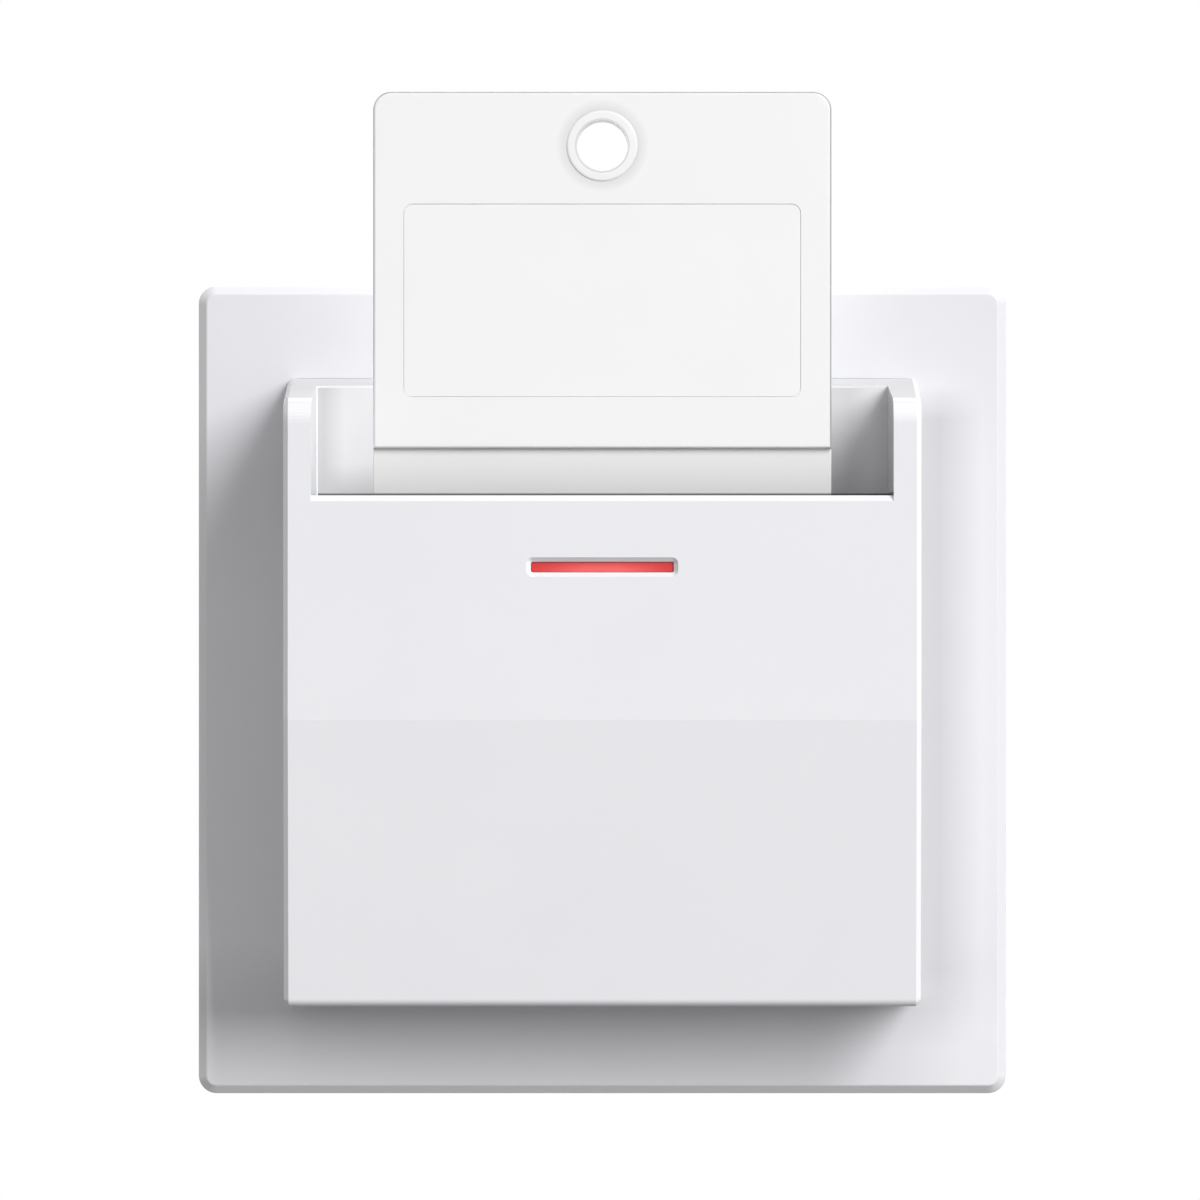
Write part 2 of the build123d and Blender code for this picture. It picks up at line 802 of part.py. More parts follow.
def lever_spring():
    """The coiled return spring of the lever, with a leg at each end."""
    def point(turn):
        angle = 2 * pi * turn
        x = lever_coil_start + lever_coil_pitch * turn
        return (x, pivot_y + lever_coil_radius * cos(angle), pivot_z + lever_coil_radius * sin(angle))

    def slope(turn):
        angle = 2 * pi * turn
        speed = 2 * pi * lever_coil_radius
        return (lever_coil_pitch, -speed * sin(angle), speed * cos(angle))

    leave = Vector(*slope(0)).normalized()
    arrive = Vector(*slope(lever_coil_turns)).normalized()
    start = Vector(*point(0))
    end = Vector(*point(lever_coil_turns))
    edges = [Line(start - leave * lever_leg, start)]
    edges += coil_line(point, slope, lever_coil_turns)
    edges.append(Line(end, end + arrive * lever_leg))
    return wire_along(edges, lever_wire_radius, start - leave * lever_leg, leave)


# Switch housing


def switch_cap():
    """The front of the switch housing, which passes through the yoke."""
    outer = RectangleRounded(2 * cap_half_width, 2 * cap_half_height, cap_corner)
    body = front_shape(outer, -cap_front, 0)
    body = chamfer(body.faces().sort_by(Axis.Y)[0].edges(), cap_corner / 2)
    flange = RectangleRounded(2 * flange_half_width, 2 * flange_half_height, cap_corner)
    body += front_shape(flange, -yoke_wall - flange_wall, -yoke_wall)
    body += rod_y(plunger_boss_radius, -cap_front - plunger_boss_rise, -cap_front + overrun, 0, -plunger_drop)
    for x in (-board_post_place, board_post_place):
        body += rod_y(board_post_radius, -cap_front - board_lift, -cap_front + overrun, x, board_post_height)
    inner_x = cap_half_width - cap_wall
    inner_z = cap_half_height - cap_wall
    body -= block(-inner_x, inner_x, cap_inner_y, overrun, -inner_z, inner_z)
    body -= rod_y(plunger_radius + plunger_slip, -cap_front - 2 * plunger_boss_rise, 0, 0, -plunger_drop)
    for x in (-cap_screw_place, cap_screw_place):
        body -= rod_y(cap_screw_radius + slip, -cap_front - overrun, 0, x, cap_screw_height)
    for x in (-lamp_pin_place, lamp_pin_place):
        body -= rod_y(lamp_pin_radius + pin_slip, -cap_front - overrun, 0, x, lamp_pin_height)
    return body


def terminal_towers():
    """The walled blocks that hold the terminals, before their wells are cut."""
    towers = Part()
    for name, x in terminal_places.items():
        tower = block(x - tower_half, x + tower_half, tower_depth, base_depth - base_wall / 2,
                      tower_inner, base_half_height - base_wall / 2)
        towers += tower if name == "line" else mirror(tower, about=Plane.XY)
    return towers


def terminal_wells():
    """The wells, wire entries and slits that are cut into the towers."""
    wells = Part()
    for name, x in terminal_places.items():
        far = terminal_centre + well_half
        well = block(x - well_half, x + well_half, well_floor, base_depth + overrun,
                     terminal_centre - well_half, far)
        well += block(x - entry_half, x + entry_half, well_floor + plate_wall, base_depth + overrun,
                      far - overrun, base_half_height + overrun)
        well += block(x - slit_half, x + slit_half, well_floor, well_floor + plate_wall + slip,
                      tower_inner - overrun, terminal_centre)
        well += rod_y(terminal_screw_radius + slip, tower_depth - overrun, well_floor + overrun, x, terminal_centre)
        wells += well if name == "line" else mirror(well, about=Plane.XY)
    return wells


def claw_lugs():
    """The lugs beside the housing that hold the right claw's pin."""
    far = claw_axis_place + claw_lug_reach
    y0 = claw_axis_depth - claw_lug_reach
    y1 = claw_axis_depth + claw_lug_reach
    lugs = Part()
    for side in (-1, 1):
        near = claw_middle + side * (claw_half + claw_lug_slip)
        away = near + side * claw_lug_wall
        lugs += block(base_half_width - overrun, far, y0, y1, min(near, away), max(near, away))
    return lugs


def switch_base():
    """The rear of the switch housing, with terminals, posts and claw lugs."""
    body = block(-base_half_width, base_half_width, 0, base_depth, -base_half_height, base_half_height)
    body = chamfer(body.edges().filter_by(Axis.Y), base_chamfer)
    inner_x = base_half_width - base_wall
    inner_z = base_half_height - base_wall
    body -= block(-inner_x, inner_x, -overrun, base_back, -inner_z, inner_z)
    body += terminal_towers()
    for x in (-cap_screw_place, cap_screw_place):
        boss = rod_y(cap_boss_radius, cap_inner_y, base_back + overrun, x, cap_screw_height)
        boss -= rod_y(cap_screw_radius + thread_slip, cap_inner_y - overrun, cap_screw_reach + overrun,
                      x, cap_screw_height)
        body += boss
    for x in (-lamp_pin_place, lamp_pin_place):
        body += rod_y(strip_half, bridge_depth + strip_wall, base_back + overrun, x, lamp_pin_height)
    body += rod_y(spring_seat_radius, spring_seat_depth, base_back + overrun, 0, -spring_seat_drop)
    body += rod_y(spring_nose_radius, spring_seat_depth - spring_nose_rise, spring_seat_depth + overrun,
                  0, -spring_seat_drop)
    body += block(-contact_pad_half, contact_pad_half, strip_y + strip_wall, base_back + overrun,
                  -tip_drop - contact_pad_half, -tip_drop + contact_pad_half)
    body += both_sides(claw_lugs())
    body -= terminal_wells()
    body -= both_sides(rod_z(claw_pin_radius, claw_middle - 2 * claw_half, claw_middle + 2 * claw_half,
                             claw_axis_place, claw_axis_depth))
    return body


def cap_screws():
    """The two screws that join the halves of the housing."""
    screws = Part()
    for x in (-cap_screw_place, cap_screw_place):
        screw = rod_y(cap_screw_head_radius, -cap_front - cap_screw_head, -cap_front, x, cap_screw_height)
        screw += rod_y(cap_screw_radius, -cap_front - cap_screw_head / 2, cap_screw_reach, x, cap_screw_height)
        screws += screw - cross_recess(cap_screw_head_radius, -cap_front - cap_screw_head, recess_depth,
                                       x, cap_screw_height)
    return screws


def plunger():
    """The button that carries the lever's push to the moving contact."""
    tip_y = -pad_front + seat_gap
    end_y = contact_y - blade_contact_wall / 2 - seat_gap
    body = rod_y(plunger_radius, tip_y, end_y, 0, -plunger_drop)
    body = fillet(body.edges().filter_by(GeomType.CIRCLE).sort_by(Axis.Y)[0], plunger_tip_round)
    return body + rod_y(plunger_flange_radius, -plunger_flange_depth, plunger_flange - plunger_flange_depth,
                        0, -plunger_drop)


# Contacts and terminals


def moving_contact():
    """The contact arm, rolled into an eye that turns on the contact pin."""
    front = contact_y - blade_contact_wall / 2
    body = block(-blade_contact_half, blade_contact_half, front, blade_contact_back,
                 -blade_contact_foot, contact_pin_height)
    body += rod_x(eye_radius, -blade_contact_half, blade_contact_half, contact_y, contact_pin_height)
    reach = blade_contact_half + overrun
    return body - rod_x(contact_pin_radius + pin_slip, -reach, reach, contact_y, contact_pin_height)


def moving_tip():
    """The contact rivet on the arm."""
    return rod_y(tip_radius, blade_contact_back, blade_contact_back + tip_wall, 0, -tip_drop)


def fixed_tip():
    """The contact rivet on the load terminal."""
    return rod_y(tip_radius, fixed_tip_y, fixed_tip_y + tip_wall, 0, -tip_drop)


def contact_pin():
    """The pin that the contact arm turns on."""
    return rod_x(contact_pin_radius, -contact_pin_reach, contact_pin_reach, contact_y, contact_pin_height)


def contact_spring():
    """The coiled spring that opens the contact when the lever lets go."""
    first = blade_contact_back + contact_wire_radius + seat_gap
    last = spring_seat_depth - contact_wire_radius - seat_gap
    pitch = (last - first) / contact_coil_turns

    def point(turn):
        angle = 2 * pi * turn
        x = contact_coil_radius * cos(angle)
        return (x, first + pitch * turn, -spring_seat_drop + contact_coil_radius * sin(angle))

    def slope(turn):
        angle = 2 * pi * turn
        speed = 2 * pi * contact_coil_radius
        return (-speed * sin(angle), pitch, speed * cos(angle))

    edges = coil_line(point, slope, contact_coil_turns)
    return wire_along(edges, contact_wire_radius, point(0), slope(0))


def terminal_plate(x):
    """A terminal's plate in its well, with the riser that comes forward from it."""
    half = well_half - ear_slip / 2
    body = block(x - half, x + half, well_floor, well_floor + plate_wall,
                 terminal_centre - half, terminal_centre + half)
    body += block(x - strip_half, x + strip_half, well_floor, well_floor + plate_wall, riser_inner, terminal_centre)
    return body - rod_y(terminal_screw_radius + thread_slip, well_floor - overrun, well_floor + 2 * plate_wall,
                        x, terminal_centre)


def line_terminal():
    """The terminal that feeds the contact arm, with the ears for its pin."""
    body = terminal_plate(line_place)
    bridge_back = bridge_depth + strip_wall
    body += block(-strip_half, strip_half, bridge_depth, well_floor + plate_wall, riser_inner,
                  riser_inner + strip_wall)
    inner = blade_contact_half + ear_slip
    top = contact_pin_height + eye_radius
    body += block(-inner - ear_wall, inner + ear_wall, bridge_depth, bridge_back, riser_inner, top)
    ear = block(inner, inner + ear_wall, contact_y - eye_radius, bridge_depth + strip_wall / 2, riser_inner, top)
    body += both_sides(ear)
    body += block(-arm_reach, -inner, bridge_depth, bridge_back, lamp_pin_height - arm_half,
                  lamp_pin_height + arm_half)
    reach = inner + 2 * ear_wall
    return body - rod_x(contact_pin_radius, -reach, reach, contact_y, contact_pin_height)


def load_terminal():
    """The terminal that carries the fixed contact."""
    body = mirror(terminal_plate(load_place), about=Plane.XY)
    strip_back = strip_y + strip_wall
    x0 = load_place - strip_half
    x1 = load_place + strip_half
    low = -tip_drop - contact_pad_half
    body += block(x0, x1, strip_y, well_floor + plate_wall, -riser_inner - strip_wall, -riser_inner)
    body += block(x0, x1, strip_y, strip_back, low, -riser_inner)
    return body + block(x0, contact_pad_half, strip_y, strip_back, low, -tip_drop + contact_pad_half)


def neutral_terminal():
    """The terminal that feeds the indicator lamp."""
    body = mirror(terminal_plate(neutral_place), about=Plane.XY)
    back = bridge_depth + strip_wall
    x0 = neutral_place - strip_half
    x1 = neutral_place + strip_half
    body += block(x0, x1, bridge_depth, well_floor + plate_wall, -riser_inner - strip_wall, -riser_inner)
    body += block(x0, x1, bridge_depth, back, -riser_inner - strip_wall, lamp_pin_height + arm_half)
    return body + block(x0, arm_reach, bridge_depth, back, lamp_pin_height - arm_half, lamp_pin_height + arm_half)


def clamp_plates():
    """The plates that the terminal screws press onto the wires."""
    plates = Part()
    y0 = well_floor + plate_wall + wire_gap
    for name, x in terminal_places.items():
        plate = block(x - clamp_half, x + clamp_half, y0, y0 + clamp_wall,
                      terminal_centre - clamp_half, terminal_centre + clamp_half)
        plate -= rod_y(terminal_screw_radius + slip, y0 - overrun, y0 + 2 * clamp_wall, x, terminal_centre)
        plates += plate if name == "line" else mirror(plate, about=Plane.XY)
    return plates


def terminal_screws():
    """The three terminal screws, driven from behind."""
    screws = Part()
    seat = well_floor + plate_wall + wire_gap + clamp_wall
    back = seat + terminal_screw_head
    for name, x in terminal_places.items():
        screw = rod_y(terminal_screw_head_radius, seat, back, x, terminal_centre)
        screw += rod_y(terminal_screw_radius, well_floor - terminal_screw_tail + plate_wall,
                       seat + terminal_screw_head / 2, x, terminal_centre)
        screw -= cross_recess(terminal_screw_head_radius, back - recess_depth, recess_depth + overrun,
                              x, terminal_centre)
        screws += screw if name == "line" else mirror(screw, about=Plane.XY)
    return screws


# Indicator lamp


board_back_y = -cap_front - board_lift
board_front_y = board_back_y - board_wall


def lamp_board():
    """The small circuit board that carries the lamp."""
    body = block(-board_half_width, board_half_width, board_front_y, board_back_y, board_low, board_high)
    for x in (-lamp_pin_place, lamp_pin_place):
        body -= rod_y(lamp_pin_radius + pin_slip, board_front_y - overrun, board_back_y + overrun,
                      x, lamp_pin_height)
    return body


def lamp_led():
    """The round red lamp behind the window."""
    body = rod_y(led_radius, board_front_y - led_length, board_front_y, 0, window_height)
    body += Pos(0, board_front_y - led_length, window_height) * Sphere(led_radius)
    rim = rod_y(led_radius + led_rim, board_front_y - led_rim_wall, board_front_y, 0, window_height)
    return (body & block(-overrun - led_radius, led_radius + overrun, pocket_y, board_front_y,
                         window_height - led_radius, window_height + led_radius)) + rim


def lamp_resistor():
    """The resistor of the lamp, standing on its two leads."""
    half = resistor_length / 2
    middle_y = board_front_y - resistor_radius - resistor_lead_radius
    body = rod_x(resistor_radius, resistor_place - half, resistor_place + half, middle_y, resistor_height)
    ends = (resistor_place - half - resistor_lead_spread, resistor_place + half + resistor_lead_spread)
    body += rod_x(resistor_lead_radius, ends[0], ends[1], middle_y, resistor_height)
    for x in ends:
        body += rod_y(resistor_lead_radius, middle_y, board_front_y, x, resistor_height)
        body += Pos(x, middle_y, resistor_height) * Sphere(resistor_lead_radius)
    return body


def lamp_pins():
    """The two pins that join the board to the terminals."""
    pins = Part()
    for x in (-lamp_pin_place, lamp_pin_place):
        pins += rod_y(lamp_pin_radius, board_front_y - lamp_pin_rise, bridge_depth, x, lamp_pin_height)
    return pins


# Claws


def claw():
    """The right claw: a fork for its nut, an eye on its pin and a toothed arm."""
    z0 = claw_middle - claw_half
    z1 = claw_middle + claw_half
    arm_outer = claw_arm_inner + claw_wall
    y_half = claw_wall / 2
    body = rod_z(claw_eye_radius, z0, z1, claw_axis_place, claw_axis_depth)
    body += block(claw_arm_inner, arm_outer, claw_axis_depth, claw_arm_depth, z0, z1)
    body += block(claw_axis_place, claw_fork_end, claw_axis_depth - y_half, claw_axis_depth + y_half, z0, z1)
    body += block(claw_arm_inner, arm_outer + claw_bite, claw_arm_depth - claw_wall, claw_arm_depth, z0, z1)
    count = ceil(2 * claw_half / (2 * claw_tooth))
    step = 2 * claw_half / count
    for index in range(count):
        middle = z0 + step * (index + 1 / 2)
        edge = arm_outer + claw_bite
        notch = make_face(Polyline((edge + claw_tooth / 2, middle - step / 2), (edge - claw_tooth, middle),
                                   (edge + claw_tooth / 2, middle + step / 2), close=True))
        body -= front_shape(notch, claw_arm_depth - 2 * claw_wall, claw_arm_depth + overrun)
    slot_half = claw_screw_radius + claw_screw_slip
    body -= block(claw_axis_place + claw_eye_radius - claw_screw_slip, claw_fork_end + overrun,
                  claw_axis_depth - claw_wall, claw_axis_depth + claw_wall,
                  claw_middle - slot_half, claw_middle + slot_half)
    body -= block(claw_arm_inner - overrun, arm_outer + overrun, claw_axis_depth + claw_slot_near,
                  claw_axis_depth + claw_slot_far, claw_middle - slot_half, claw_middle + slot_half)
    return body - rod_z(claw_pin_radius + pin_slip, z0 - overrun, z1 + overrun, claw_axis_place, claw_axis_depth)


def claw_pins():
    """The pins that the two claws turn on."""
    reach = claw_half + claw_lug_slip + claw_lug_wall
    return both_sides(rod_z(claw_pin_radius, claw_middle - reach, claw_middle + reach,
                            claw_axis_place, claw_axis_depth))


def claw_nut():
    """The right claw's round nut, which the screw draws forward."""
    y = claw_axis_depth + claw_wall / 2 + claw_nut_radius + seat_gap
    body = rod_z(claw_nut_radius, claw_middle - claw_nut_half, claw_middle + claw_nut_half, claw_screw_place, y)
    return body - rod_y(claw_screw_radius + thread_slip, y - 2 * claw_nut_radius, y + 2 * claw_nut_radius,
                        claw_screw_place, claw_middle)


def claw_screw():
    """The right claw's screw, with its head in front of the yoke."""
    head_y = -yoke_wall - claw_screw_head
    body = rod_y(claw_screw_head_radius, head_y, -yoke_wall, claw_screw_place, claw_middle)
    body += rod_y(claw_screw_radius, -yoke_wall - claw_screw_head / 2, claw_screw_end,
                  claw_screw_place, claw_middle)
    return body - cross_recess(claw_screw_head_radius, head_y, recess_depth, claw_screw_place, claw_middle)


def left(solid):
    """The same piece on the other side of the switch."""
    return mirror(solid, about=Plane.YZ)


pieces = {
    "decorative_frame": decorative_frame(),
    "front_cover": front_cover(),
    "indicator_lens": indicator_lens(),
    "card_blade": card_blade(),
    "card_grip": card_grip(),
    "card_label": card_label(),
    "card_guide": card_guide(),
    "guide_screws": guide_screws(),
    "leaf_springs": leaf_springs(),
    "card_lever": card_lever(),
    "lever_pin": lever_pin(),
    "lever_spring": lever_spring(),
    "mounting_yoke": mounting_yoke(),
    "switch_cap": switch_cap(),
    "switch_base": switch_base(),
    "cap_screws": cap_screws(),
    "plunger": plunger(),
    "moving_contact": moving_contact(),
    "moving_tip": moving_tip(),
    "fixed_tip": fixed_tip(),
    "contact_pin": contact_pin(),
    "contact_spring": contact_spring(),
    "line_terminal": line_terminal(),
    "load_terminal": load_terminal(),
    "neutral_terminal": neutral_terminal(),
    "clamp_plates": clamp_plates(),
    "terminal_screws": terminal_screws(),
    "lamp_board": lamp_board(),
    "lamp_led": lamp_led(),
    "lamp_resistor": lamp_resistor(),
    "lamp_pins": lamp_pins(),
    "claw_right": claw(),
    "claw_left": left(claw()),
    "claw_pins": claw_pins(),
    "claw_nut_right": claw_nut(),
    "claw_nut_left": left(claw_nut()),
    "claw_screw_right": claw_screw(),
    "claw_screw_left": left(claw_screw()),
}

os.makedirs("parts", exist_ok=True)
for name, piece in pieces.items():
    export_step(piece, f"parts/{name}.step")

lever_gap = lever_coil_pitch - 2 * lever_wire_radius
contact_travel = spring_seat_depth - blade_contact_back - 2 * contact_wire_radius - 2 * seat_gap
contact_gap = contact_travel / contact_coil_turns - 2 * contact_wire_radius
print(f"least gap in the lever spring {lever_gap:.2f} mm, in the contact spring {contact_gap:.2f} mm")
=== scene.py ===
import json
from math import pi, radians

import bmesh
import bpy
from mathutils import Matrix, Vector

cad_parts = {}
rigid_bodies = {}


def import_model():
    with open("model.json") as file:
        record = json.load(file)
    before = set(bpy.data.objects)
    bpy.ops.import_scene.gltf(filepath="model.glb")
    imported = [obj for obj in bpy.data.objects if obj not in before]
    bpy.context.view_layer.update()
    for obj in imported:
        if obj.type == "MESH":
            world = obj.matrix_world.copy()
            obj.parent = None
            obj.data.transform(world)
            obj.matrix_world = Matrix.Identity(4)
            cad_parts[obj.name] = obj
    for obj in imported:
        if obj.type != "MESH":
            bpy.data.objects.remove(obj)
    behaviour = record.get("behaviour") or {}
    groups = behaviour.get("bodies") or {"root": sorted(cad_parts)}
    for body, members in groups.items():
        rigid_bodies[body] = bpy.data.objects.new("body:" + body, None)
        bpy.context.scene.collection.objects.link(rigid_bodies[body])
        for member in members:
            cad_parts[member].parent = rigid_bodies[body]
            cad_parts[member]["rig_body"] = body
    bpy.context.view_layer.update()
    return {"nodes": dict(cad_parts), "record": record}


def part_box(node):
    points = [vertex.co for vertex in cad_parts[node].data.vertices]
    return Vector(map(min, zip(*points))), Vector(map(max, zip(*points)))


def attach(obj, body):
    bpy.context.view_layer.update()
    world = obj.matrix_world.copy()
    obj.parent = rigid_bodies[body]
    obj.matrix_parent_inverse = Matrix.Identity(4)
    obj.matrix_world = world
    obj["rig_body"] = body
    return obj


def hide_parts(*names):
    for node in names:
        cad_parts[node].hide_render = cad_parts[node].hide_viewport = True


# A hotel key card switch for a round flush box. The front faces -Y and the wall is at y = 0.
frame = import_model()
mm = 0.001

# Sizes that the pieces share
merge_distance = 0.0001 * mm
flat_angle = radians(0.3)
sharp_angle = radians(30)
round_steps = 32


# Making pieces


def link_piece(name, mesh, node):
    """Puts a mesh in the scene as a piece that rides on a node's body and replaces the node."""
    piece = bpy.data.objects.new(name, mesh)
    bpy.context.scene.collection.objects.link(piece)
    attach(piece, frame["nodes"][node]["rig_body"])
    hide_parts(node)
    return piece


def finished_mesh(name, bm, smooth=True):
    """A mesh from a bmesh: smooth over gentle turns and sharp at edges, or flat throughout."""
    mesh = bpy.data.meshes.new(name)
    bm.to_mesh(mesh)
    bm.free()
    carried = mesh.attributes.get("custom_normal")
    if carried:
        mesh.attributes.remove(carried)
    if smooth:
        mesh.shade_smooth()
        mesh.set_sharp_from_angle(angle=sharp_angle)
    else:
        mesh.shade_flat()
    return mesh


def merged(node):
    """A bmesh of a node's mesh, with its loose triangles joined."""
    bm = bmesh.new()
    bm.from_mesh(frame["nodes"][node].data)
    bmesh.ops.remove_doubles(bm, verts=bm.verts, dist=merge_distance)
    return bm


def even_faces(piece):
    """Keeps the flat faces of a piece even beside its rounded edges."""
    flat = piece.modifiers.new("flat faces", "WEIGHTED_NORMAL")
    flat.weight = 100
    flat.keep_sharp = True


def soft_piece(name, node, bm, width):
    """A piece in whole faces, whose rounded edges catch the light as moulded ones do."""
    bmesh.ops.dissolve_limit(bm, angle_limit=flat_angle, verts=bm.verts, edges=bm.edges)
    piece = link_piece(name, finished_mesh(name, bm), node)
    bevel = piece.modifiers.new("soft edges", "BEVEL")
    bevel.width = width
    bevel.segments = 2
    bevel.limit_method = "ANGLE"
    bevel.angle_limit = sharp_angle
    bevel.use_clamp_overlap = False
    even_faces(piece)
    dress(piece, node)


# Screws

# The dome of a head: share of the head's radius, then steps outwards and down in rim widths
dome = ((0.0, 0.0, 0.0), (0.55, 0.0, 0.1), (1.0, -1.0, 0.6), (1.0, -0.3, 1.0), (1.0, 0.0, 1.7))
rim_width = 0.3 * mm
cross_width = 0.8 * mm
cross_depth = 1.2 * mm
cross_span = 1.2
cross_taper = 0.6
crest_play = 0.02 * mm


def turned(bm, profile, x, z):
    """Spins an outline of (radius, y) points round an axis along Y through x and z."""
    vertices = [bm.verts.new((x + radius, y, z)) for radius, y in profile]
    edges = [bm.edges.new(pair) for pair in zip(vertices, vertices[1:])]
    bmesh.ops.spin(bm, geom=vertices + edges, cent=(x, 0, z), axis=(0, 1, 0), dvec=(0, 0, 0),
                   angle=2 * pi, steps=round_steps, use_merge=True, use_duplicate=False)


def thread(bm, x, z, start, end, root, crest, pitch):
    """A helical ridge of triangular section round an axis along Y."""
    travel = end - start - pitch
    turns = travel / pitch
    steps = round(turns * round_steps)
    corners = [(root, start), (crest, start + pitch / 2), (root, start + pitch)]
    vertices = [bm.verts.new((x + radius, y, z)) for radius, y in corners]
    first = bm.faces.new(vertices)
    made = bmesh.ops.spin(bm, geom=list(first.edges) + vertices, cent=(x, 0, z),
                          axis=(0, 1, 0), dvec=(0, travel / steps, 0), angle=2 * pi * turns,
                          steps=steps, use_merge=False, use_duplicate=False)
    last = [item for item in made["geom_last"] if isinstance(item, bmesh.types.BMVert)]
    bm.faces.new(last)


def cross_bar(x, z, face, way, width, reach):
    """One tapered bar of the cross that a driver fits, sunk from the plane y = face."""
    bm = bmesh.new()
    made = bmesh.ops.create_cube(bm, size=1)["verts"]
    bmesh.ops.scale(bm, vec=(width, 2 * cross_depth, reach), verts=made)
    deep = [vertex for vertex in made if vertex.co.y * way > 0]
    bmesh.ops.scale(bm, vec=(cross_taper, 1, cross_taper), verts=deep)
    bmesh.ops.translate(bm, vec=(x, face, z), verts=made)
    return bm


def cut_away(piece, cutter):
    """Takes a cutting shape out of a piece for good."""
    shape = finished_mesh("cutting shape", cutter, smooth=False)
    tool = bpy.data.objects.new("cutting shape", shape)
    bpy.context.scene.collection.objects.link(tool)
    cut = piece.modifiers.new("cut", "BOOLEAN")
    cut.operation = "DIFFERENCE"
    cut.solver = "EXACT"
    cut.object = tool
    graph = bpy.context.evaluated_depsgraph_get()
    mesh = bpy.data.meshes.new_from_object(piece.evaluated_get(graph))
    piece.modifiers.clear()
    piece.data = mesh
    mesh.set_sharp_from_angle(angle=sharp_angle)
    bpy.data.objects.remove(tool)


def screw(name, node, x, z, face, tip, head_height, head_radius, radius, pitch):
    """A round-headed screw along Y, with a driver's cross and a rolled thread."""
    way = 1 if tip > face else -1
    seat = face + way * head_height
    neck = seat + way * pitch
    end = tip - way * rim_width
    core = radius - pitch / 2
    profile = [(head_radius * share + rim_width * out, face + way * rim_width * down)
               for share, out, down in dome]
    profile += [(head_radius, seat), (radius, seat), (radius, neck),
                (core, neck + way * rim_width), (core, end), (core - rim_width, tip), (0, tip)]
    bm = bmesh.new()
    turned(bm, profile, x, z)
    bmesh.ops.remove_doubles(bm, verts=bm.verts, dist=merge_distance)
    bmesh.ops.recalc_face_normals(bm, faces=bm.faces)
    piece = link_piece(name, finished_mesh(name, bm), node)
    span = head_radius * cross_span
    for width, reach in ((cross_width, span), (span, cross_width)):
        cut_away(piece, cross_bar(x, z, face, way, width, reach))

    ridge = bmesh.new()
    low, high = sorted((neck, end))
    thread(ridge, x, z, low, high, core - pitch / 8, radius - crest_play, pitch)
    bmesh.ops.recalc_face_normals(ridge, faces=ridge.faces)
    ridge_mesh = bpy.data.meshes.new("thread")
    ridge.to_mesh(ridge_mesh)
    ridge.free()
    bm = bmesh.new()
    bm.from_mesh(piece.data)
    bm.from_mesh(ridge_mesh)
    bpy.data.meshes.remove(ridge_mesh)
    piece.data = finished_mesh(name, bm)
    dress(piece, node)


# Nodes that the materials share


def feed(tree, socket, value):
    """Links a socket to another one, or sets it to a constant."""
    if isinstance(value, bpy.types.NodeSocket):
        tree.links.new(value, socket)
    else:
        socket.default_value = value


def with_alpha(colour):
    return (*colour, 1.0)


def grey(level):
    return (level, level, level)


def add_noise(tree, vector, scale, detail=3.0):
    """A noise texture, whose scale is a socket or a number."""
    noise = tree.nodes.new("ShaderNodeTexNoise")
    noise.inputs["Detail"].default_value = detail
    tree.links.new(vector, noise.inputs["Vector"])
    feed(tree, noise.inputs["Scale"], scale)
    return noise.outputs["Fac"]


def add_math(tree, operation, first, second=0.0):
    """A math node on two sockets or numbers."""
    node = tree.nodes.new("ShaderNodeMath")
    node.operation = operation
    for socket, value in zip(node.inputs, (first, second)):
        feed(tree, socket, value)
    return node.outputs[0]


def add_range(tree, value, none, full):
    """Stretches a value so that it is 0 at none and 1 at full."""
    node = tree.nodes.new("ShaderNodeMapRange")
    tree.links.new(value, node.inputs["Value"])
    node.inputs["From Min"].default_value = none
    node.inputs["From Max"].default_value = full
    return node.outputs["Result"]


def add_mix(tree, factor, first, second):
    """Mixes two colours by a factor. A colour is a socket or three numbers."""
    node = tree.nodes.new("ShaderNodeMix")
    node.data_type = "RGBA"
    feed(tree, node.inputs["Factor"], factor)
    for socket, colour in ((node.inputs[6], first), (node.inputs[7], second)):
        feed(tree, socket, with_alpha(colour) if isinstance(colour, tuple) else colour)
    return node.outputs[2]


def painted(tree, colour, *layers):
    """A colour with layers over it, each of them a mask and its paint."""
    for mask, paint in layers:
        colour = add_mix(tree, mask, colour, paint)
    return colour


def all_of(tree, *masks):
    """The product of masks."""
    product = masks[0]
    for mask in masks[1:]:
        product = add_math(tree, "MULTIPLY", product, mask)
    return product


def gap(tree, value, middle=0.0):
    """How far a value is from the middle, to either side."""
    return add_math(tree, "ABSOLUTE", add_math(tree, "SUBTRACT", value, middle))


def object_place(tree):
    return tree.nodes.new("ShaderNodeTexCoord").outputs["Object"]


def separate(tree, output):
    """The parts X, Y and Z of an output of Texture Coordinate, such as Object or Normal."""
    axes = tree.nodes.new("ShaderNodeSeparateXYZ")
    tree.links.new(tree.nodes.new("ShaderNodeTexCoord").outputs[output], axes.inputs[0])
    return axes.outputs


def soft_patch(tree, place, *fades):
    """A mask with soft edges. A fade is an axis, where it is 0 and where it is 1, in mm."""
    return all_of(tree, *(add_range(tree, place[axis], none * mm, full * mm)
                          for axis, none, full in fades))


def to_upper_right(tree, across, up):
    """How far a place or the way a face looks lies towards the upper right."""
    right_share, up_share = 0.64, 0.77
    right, above = all_of(tree, across, right_share), all_of(tree, up, up_share)
    return add_math(tree, "ADD", right, above)


# Effects that the materials share


